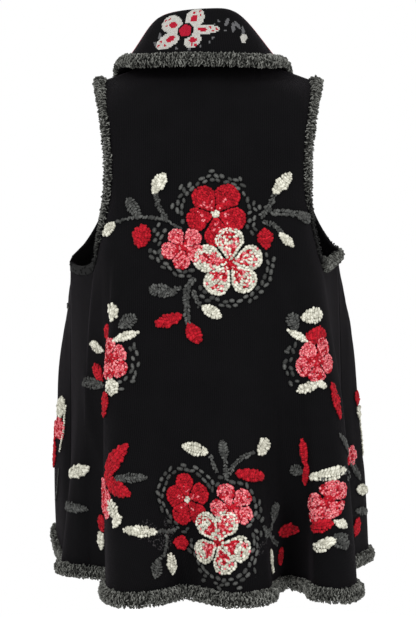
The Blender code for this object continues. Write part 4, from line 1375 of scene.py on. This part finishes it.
def oval_mask(recipe, u, v, place, heading, half_length, half_width):
    """1 inside an oval on the cloth and 0 outside it."""
    turn = np.radians(heading)
    right = recipe.math("SUBTRACT", u, place[0])
    above = recipe.math("SUBTRACT", v, place[1])
    along = recipe.math(
        "ADD",
        recipe.math("MULTIPLY", right, np.cos(turn) / half_length),
        recipe.math("MULTIPLY", above, np.sin(turn) / half_length),
    )
    aside = recipe.math(
        "SUBTRACT",
        recipe.math("MULTIPLY", above, np.cos(turn) / half_width),
        recipe.math("MULTIPLY", right, np.sin(turn) / half_width),
    )
    square = recipe.math("MULTIPLY_ADD", along, along, recipe.math("MULTIPLY", aside, aside))
    return recipe.math("LESS_THAN", square, 1.0)


def any_oval(recipe, u, v, rows):
    """1 inside any of the ovals and 0 elsewhere."""
    mask = 0.0
    for row in rows:
        mask = recipe.math("MAXIMUM", mask, oval_mask(recipe, u, v, *row))
    return mask


def knitted_flower(recipe):
    """Colours of the flat motif knitted into the collar, as masks snapped to its stitches."""
    u, v = recipe.cloth_uv()
    across = recipe.math("MULTIPLY", recipe.math("ROUND", recipe.math("DIVIDE", u, CELL)), CELL)
    up = recipe.math("MULTIPLY", recipe.math("ROUND", recipe.math("DIVIDE", v, CELL)), CELL)
    petals, blotches, dots = [], [], []
    for heading, length, half_width in COLLAR_PETALS:
        ray = np.array([np.cos(np.radians(heading)), np.sin(np.radians(heading))])
        aside = np.array([-ray[1], ray[0]])
        middle = COLLAR_FLOWER + ray * (length + 0.010) / 2
        petals.append((middle, heading, (length - 0.010) / 2, half_width))
        blotch = COLLAR_FLOWER + ray * (0.012 + 0.30 * length)
        blotches.append((blotch, heading + 4, 0.15 * length, 0.36 * half_width))
        for share, shift in ((0.80, 0.35), (0.74, -0.40), (0.92, 0.05)):
            dot = COLLAR_FLOWER + ray * length * share + aside * half_width * shift
            dots.append((dot, 0, 0.0022, 0.0022))
    centre = (COLLAR_FLOWER, 0, 0.0110, 0.0110)
    ring = (COLLAR_FLOWER, 0, 0.0145, 0.0145)
    white = any_oval(recipe, across, up, [*petals, *COLLAR_BUD])
    outside = recipe.math("SUBTRACT", 1.0, oval_mask(recipe, across, up, *ring))
    white = recipe.math("MULTIPLY", white, outside)
    red = any_oval(recipe, across, up, [centre, *blotches, *dots])
    grey = any_oval(recipe, across, up, COLLAR_SPECKS)
    return white, red, grey


def silhouette_line(recipe):
    """A narrow line down the collar's sides, where its crimson wrong side shows at the turn."""
    node = recipe.nodes.new("ShaderNodeNewGeometry")
    facing = recipe.nodes.new("ShaderNodeSeparateXYZ")
    recipe.links.new(node.outputs["Normal"], facing.inputs[0])
    place = recipe.nodes.new("ShaderNodeSeparateXYZ")
    recipe.links.new(recipe.place(), place.inputs[0])
    low = recipe.math("GREATER_THAN", facing.outputs[1], 0.04)
    high = recipe.math("LESS_THAN", facing.outputs[1], 0.22)
    above = recipe.math("GREATER_THAN", place.outputs[2], 0.030)
    beside = recipe.math("GREATER_THAN", recipe.math("ABSOLUTE", place.outputs[0]), 0.055)
    line = recipe.math("MULTIPLY", recipe.math("MULTIPLY", low, high), above)
    return recipe.math("MULTIPLY", line, beside)


def black_wool(name="black_wool_knit", on_collar=False):
    """Felted black knit, a little hairy, with a faint brown-grey bloom."""
    recipe = Recipe(name, 0.95, 0.030, 0.35)
    recipe.shader.inputs["Specular IOR Level"].default_value = 0.04
    recipe.shader.inputs["Sheen Tint"].default_value = (0.62, 0.50, 0.62, 1.0)
    u, v = recipe.cloth_uv()
    knit = knit_height(recipe, u, v)
    place = recipe.place()
    felt = recipe.noise(place, 900.0, 3.0)
    cloudy = recipe.noise(place, 22.0, 3.0)
    darkest, dark, usual = WOOL_COLOURS
    deep = recipe.mix(recipe.ramp(cloudy, 0.3, 0.7), darkest, dark)
    # The knit's grooves are painted darker than its raised columns, as painted shade
    colour = recipe.mix(recipe.ramp(knit, -0.2, 1.3), deep, usual)
    if on_collar:
        white, red, grey = knitted_flower(recipe)
        mottle = recipe.ramp(felt, 0.30, 0.70)
        colour = recipe.mix(grey, colour, KNITTED_GREY)
        colour = recipe.mix(white, colour, recipe.mix(mottle, *KNITTED_WHITES))
        colour = recipe.mix(red, colour, recipe.mix(mottle, *KNITTED_REDS))
        colour = recipe.mix(silhouette_line(recipe), colour, TURN_CRIMSON)
    else:
        worn = recipe.math("GREATER_THAN", recipe.noise(place, 330.0, 1.0), 0.585)
        worn = recipe.math("MULTIPLY", worn, any_oval(recipe, u, v, WORN_PATCHES))
        colour = recipe.mix(worn, colour, WORN_GREY)
    recipe.colour(colour)
    recipe.bump(recipe.math("MULTIPLY_ADD", felt, 0.7, knit), 0.55, 0.0006)
    return recipe.material


def grey_pile():
    """Curly grey wool pile with an olive cast, painted darker between its loops and at their feet
    as painted shade.
    """
    recipe = Recipe("grey_wool_pile", 0.95, 0.04, 0.5)
    recipe.shader.inputs["Specular IOR Level"].default_value = 0.06
    darkest, usual, pale = PILE_COLOURS
    tone = recipe.uneven_tone(60.0, 0.5)
    dark = recipe.mix(recipe.ramp(tone, 0.0, 0.55), darkest, usual)
    recipe.colour(recipe.mix(recipe.ramp(tone, 0.50, 1.0), dark, pale))
    recipe.bump(recipe.noise(recipe.place(), 1400.0, 2.0), 0.6, 0.0004)
    return recipe.material


YARN_COLOURS = {
    # yarn: darkest, usual and palest colour
    "crimson": ((0.045, 0.001, 0.002), (0.250, 0.003, 0.009), (0.480, 0.011, 0.022)),
    "pink": ((0.170, 0.008, 0.015), (0.440, 0.036, 0.056), (0.720, 0.215, 0.230)),
    "cream": ((0.120, 0.117, 0.095), (0.410, 0.400, 0.330), (0.740, 0.730, 0.635)),
    "grey": ((0.008, 0.008, 0.008), (0.038, 0.039, 0.037), (0.105, 0.107, 0.101)),
}


def yarn_finish(yarn):
    """Thick woollen yarn, with a tone that differs by stitch."""
    dark, usual, pale = YARN_COLOURS[yarn]
    recipe = Recipe("yarn_" + yarn, 0.85, 0.03, 0.5)
    recipe.shader.inputs["Specular IOR Level"].default_value = 0.08
    place = recipe.place()
    tone = recipe.uneven_tone(420.0, 0.6)
    low = recipe.mix(recipe.ramp(tone, 0.0, 0.5), dark, usual)
    colour = recipe.mix(recipe.ramp(tone, 0.5, 1.0), low, pale)
    if yarn == "pink":
        fleck = recipe.ramp(recipe.noise(place, 520.0, 1.0), 0.56, 0.70)
        colour = recipe.mix(recipe.math("MULTIPLY", fleck, 0.75), colour, PINK_FLECK)
    recipe.colour(colour)
    recipe.bump(recipe.noise(place, 1100.0, 2.0), 0.7, 0.0005)
    return recipe.material


def finish(piece, material):
    piece.data.materials.clear()
    piece.data.materials.append(material)


def make_cloth():
    """The four panels with their coordinates, and the collar."""
    depths = row_depths()
    lower = below_arms(depths)
    first, last = SIDE_STRIPS, SIDE_STRIPS + CENTRE_STRIPS
    back = Cloth("back", back_grid(depths), -1, depths)
    fronts = {name: Cloth(name, front_grid(name, depths), HANDS[name], depths) for name in HANDS}
    for name, column in (("left", 0), ("right", -1)):
        shared = unit(back.normal[lower, column] + fronts[name].normal[lower, 0])
        back.normal[lower, column] = shared
        fronts[name].normal[lower, 0] = shared
        fronts[name].normal[0] = shoulder_normal(HANDS[name])
    back.normal[0, first : first + SHOULDER_STRIPS + 1] = shoulder_normal(1)
    back.normal[0, last - SHOULDER_STRIPS : last + 1] = shoulder_normal(-1)

    neck_columns = slice(first + SHOULDER_STRIPS, last - SHOULDER_STRIPS + 1)
    lapel_rows = depths <= LAPEL_END
    neckline, away = [], []
    for name, cloth in fronts.items():
        points = cloth.grid[lapel_rows]
        neckline.append(points[::-1, -1] if name == "left" else points[:, -1])
        ways = unit(points[:, -1] - points[:, -2])
        away.append(ways[::-1] if name == "left" else ways)
    neckline.insert(1, back.grid[0, neck_columns][1:-1])
    away.insert(1, unit(back.grid[0, neck_columns] - back.grid[1, neck_columns])[1:-1])
    neckline = np.concatenate(neckline)
    away = unit(smoothed(np.concatenate(away), False, 3))
    collar = collar_grid(neckline, away)

    gap = SEAM_GAP / 2
    for column, beside in ((0, 1), (-1, -2)):
        back.grid[lower, column] += gap * unit(back.grid[lower, beside] - back.grid[lower, column])
    for cloth in fronts.values():
        cloth.grid[lower, 0] += gap * unit(cloth.grid[lower, 1] - cloth.grid[lower, 0])
    back.measure(SIDE_STRIPS + CENTRE_STRIPS // 2)
    for cloth in fronts.values():
        cloth.measure()
    for cloth in (back, *fronts.values()):
        cloth.crease()
        cloth.spread()
    return back, fronts, collar


def add_cloth(name, node, grid, normal, uv):
    """Adds one panel as a closed wall on the middle surface."""
    made = wall_piece(name, grid + normal * WALL / 2, grid - normal * WALL / 2, uv)
    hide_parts(node)
    return made


def add_pile_edging(back, fronts, collar):
    """Adds the looped pile along the armholes, the hem and the collar."""
    first, last = SIDE_STRIPS, SIDE_STRIPS + CENTRE_STRIPS
    outers = {"back": back.grid + back.normal * WALL / 2}
    for name, cloth in fronts.items():
        outers[name] = cloth.grid + cloth.normal * WALL / 2
    made = {}
    grid, row = back.grid, UPPER_ROWS
    for name, column in (("left", first), ("right", last)):
        front = fronts[name].grid
        step = 1 if name == "left" else -1
        under = slice(column - 1, 0, -1) if name == "left" else slice(column + 1, -1)
        path = [grid[:row, column], grid[row, column : column + 1], grid[row, under]]
        path.append(front[row:0:-1, 0])
        ways = [grid[:row, column + step] - grid[:row, column]]
        ways.append((grid[row + 1, column + step] - grid[row, column])[None])
        ways.append(grid[row + 1, under] - grid[row, under])
        ways.append(front[row:0:-1, 1] - front[row:0:-1, 0])
        ways[-1][0] = front[row + 1, 1] - front[row, 0]
        ups = [back.normal[:row, column], back.normal[row, column : column + 1]]
        ups.append(back.normal[row, under])
        ups.append(fronts[name].normal[row:0:-1, 0])
        marks = [np.linspace(k, k + 1, len(part) + 1)[:-1] for k, part in enumerate(path)]
        profile = np.array(ARMHOLE_FULLNESS[name])
        made["armhole_" + name] = add_pile(
            "pile_armhole_" + name,
            np.concatenate(path),
            np.concatenate([unit(w) for w in ways]),
            np.concatenate(ups),
            surface_tree([(outers["back"], -1), (outers[name], HANDS[name])]),
            True,
            rng,
            np.interp(np.concatenate(marks), profile[:, 0], profile[:, 1]),
            sum(len(part) for part in path[:-1]),
        )
    for name in ("back", "left", "right"):
        cloth = back if name == "back" else fronts[name]
        label = "pile_hem_" + ("back" if name == "back" else "front_" + name)
        ways = unit(cloth.grid[-2] - cloth.grid[-1])
        tree = surface_tree([(outers[name], HANDS.get(name, -1))])
        made["hem_" + name] = add_pile(
            label, cloth.grid[-1], ways, cloth.normal[-1], tree, False, rng
        )
    normal = normals_of(collar, 1)
    outer = collar + normal * WALL / 2
    ways = unit(collar[:, -2] - collar[:, -1])
    made["collar"] = add_pile(
        "pile_collar", collar[:, -1], ways, normal[:, -1], surface_tree([(outer, 1)]), False, rng
    )
    return made


FLOOR_RADIUS = 1.3
FLOOR_LEVEL = -1.25
FLOOR_CORNERS = 64
LIGHTS = (
    # name, place, size in metres, power in watts
    ("key_light", (1.6, 2.4, 1.3), 1.2, 55.0),
    ("fill_light", (-2.0, 2.2, 0.4), 1.6, 35.0),
    ("front_light", (0.4, -2.4, 0.9), 1.6, 30.0),
)
LIT_PLACE = (0.0, 0.0, -0.45)
CAMERA_PLACE = (0.0, 2.5, -0.43)
CAMERA_LENS = 79.1  # in millimetres, like the sensor
CAMERA_SENSOR = 36.0


def add_light(name, place, size, power):
    """Adds a soft square light that points at the middle of the garment."""
    light = bpy.data.lights.new(name, "AREA")
    light.size = size
    light.energy = power
    made = bpy.data.objects.new(name, light)
    made.location = place
    aim = Vector(LIT_PLACE) - Vector(place)
    made.rotation_euler = aim.to_track_quat("-Z", "Y").to_euler()
    bpy.context.scene.collection.objects.link(made)


def set_stage():
    """A pale floor well below the hem, soft studio light and the camera."""
    floor_mesh = bpy.data.meshes.new("floor")
    turns = np.linspace(0, 2 * np.pi, FLOOR_CORNERS + 1)[:-1]
    rim = [(FLOOR_RADIUS * np.cos(t), FLOOR_RADIUS * np.sin(t), FLOOR_LEVEL) for t in turns]
    floor_mesh.from_pydata(rim, [], [list(range(FLOOR_CORNERS))])
    floor = bpy.data.objects.new("floor", floor_mesh)
    bpy.context.scene.collection.objects.link(floor)
    recipe = Recipe("pale_floor", 0.9)
    speckle = recipe.noise(recipe.place(), 3.0)
    recipe.colour(recipe.mix(speckle, (0.84, 0.84, 0.84), (0.88, 0.88, 0.88)))
    finish(floor, recipe.material)

    world = bpy.context.scene.world or bpy.data.worlds.new("studio")
    bpy.context.scene.world = world
    world.use_nodes = True
    world.node_tree.nodes["Background"].inputs["Color"].default_value = (1.0, 1.0, 1.0, 1.0)
    world.node_tree.nodes["Background"].inputs["Strength"].default_value = 1.0
    bpy.context.scene.view_settings.view_transform = "Standard"
    for row in LIGHTS:
        add_light(*row)

    camera = bpy.data.cameras.new("camera")
    camera.lens = CAMERA_LENS
    camera.sensor_width = CAMERA_SENSOR
    seen = bpy.data.objects.new("camera", camera)
    seen.location = CAMERA_PLACE
    seen.rotation_euler = (np.pi / 2, 0.0, np.pi)
    bpy.context.scene.collection.objects.link(seen)
    bpy.context.scene.camera = seen


def main():
    back, fronts, collar = make_cloth()
    wool, pile = black_wool(), grey_pile()
    panels = {"back": back, **fronts}
    cloths = {}
    for name, cloth in panels.items():
        node = "back" if name == "back" else "front_" + name
        uv = np.stack([cloth.across, lengths_along(np.nan_to_num(cloth.grid), 0)], axis=-1)
        cloths[name] = add_cloth(node + "_cloth", node, cloth.grid, cloth.normal, uv)
        finish(cloths[name], wool)
    # On the collar, length round it from its middle and height over its rolled fold
    fold = collar.shape[1] // 2
    along = lengths_along(collar, 0)[:, fold + fold // 2]
    middle = len(along) // 2
    down = lengths_along(collar, 1)
    up = down[:, fold : fold + 1] - down
    uv = np.stack([np.broadcast_to((along[middle] - along)[:, None], down.shape), up], axis=-1)
    cloths["collar"] = add_cloth("collar_cloth", "collar", collar, normals_of(collar, 1), uv)
    finish(cloths["collar"], black_wool("black_wool_collar", True))

    edgings = add_pile_edging(back, fronts, collar)
    for piece in edgings.values():
        finish(piece, pile)

    for row in FLOWERS:
        add_flower(*row)
    for row in LEAVES:
        add_leaf(*row)
    for row in STEMS:
        add_stem(*row)
    for row in FRINGES:
        add_fringe(*row)
    for row in SEED_ARCS:
        add_seeds(*row)
    add_halo(FLOWERS[:3])
    add_halo(FLOWERS[3:6])
    for yarn in YARN_SIZES:
        piece = add_yarn("yarn_" + yarn, panels, stitches[yarn])
        finish(piece, yarn_finish(yarn))

    set_stage()


main()
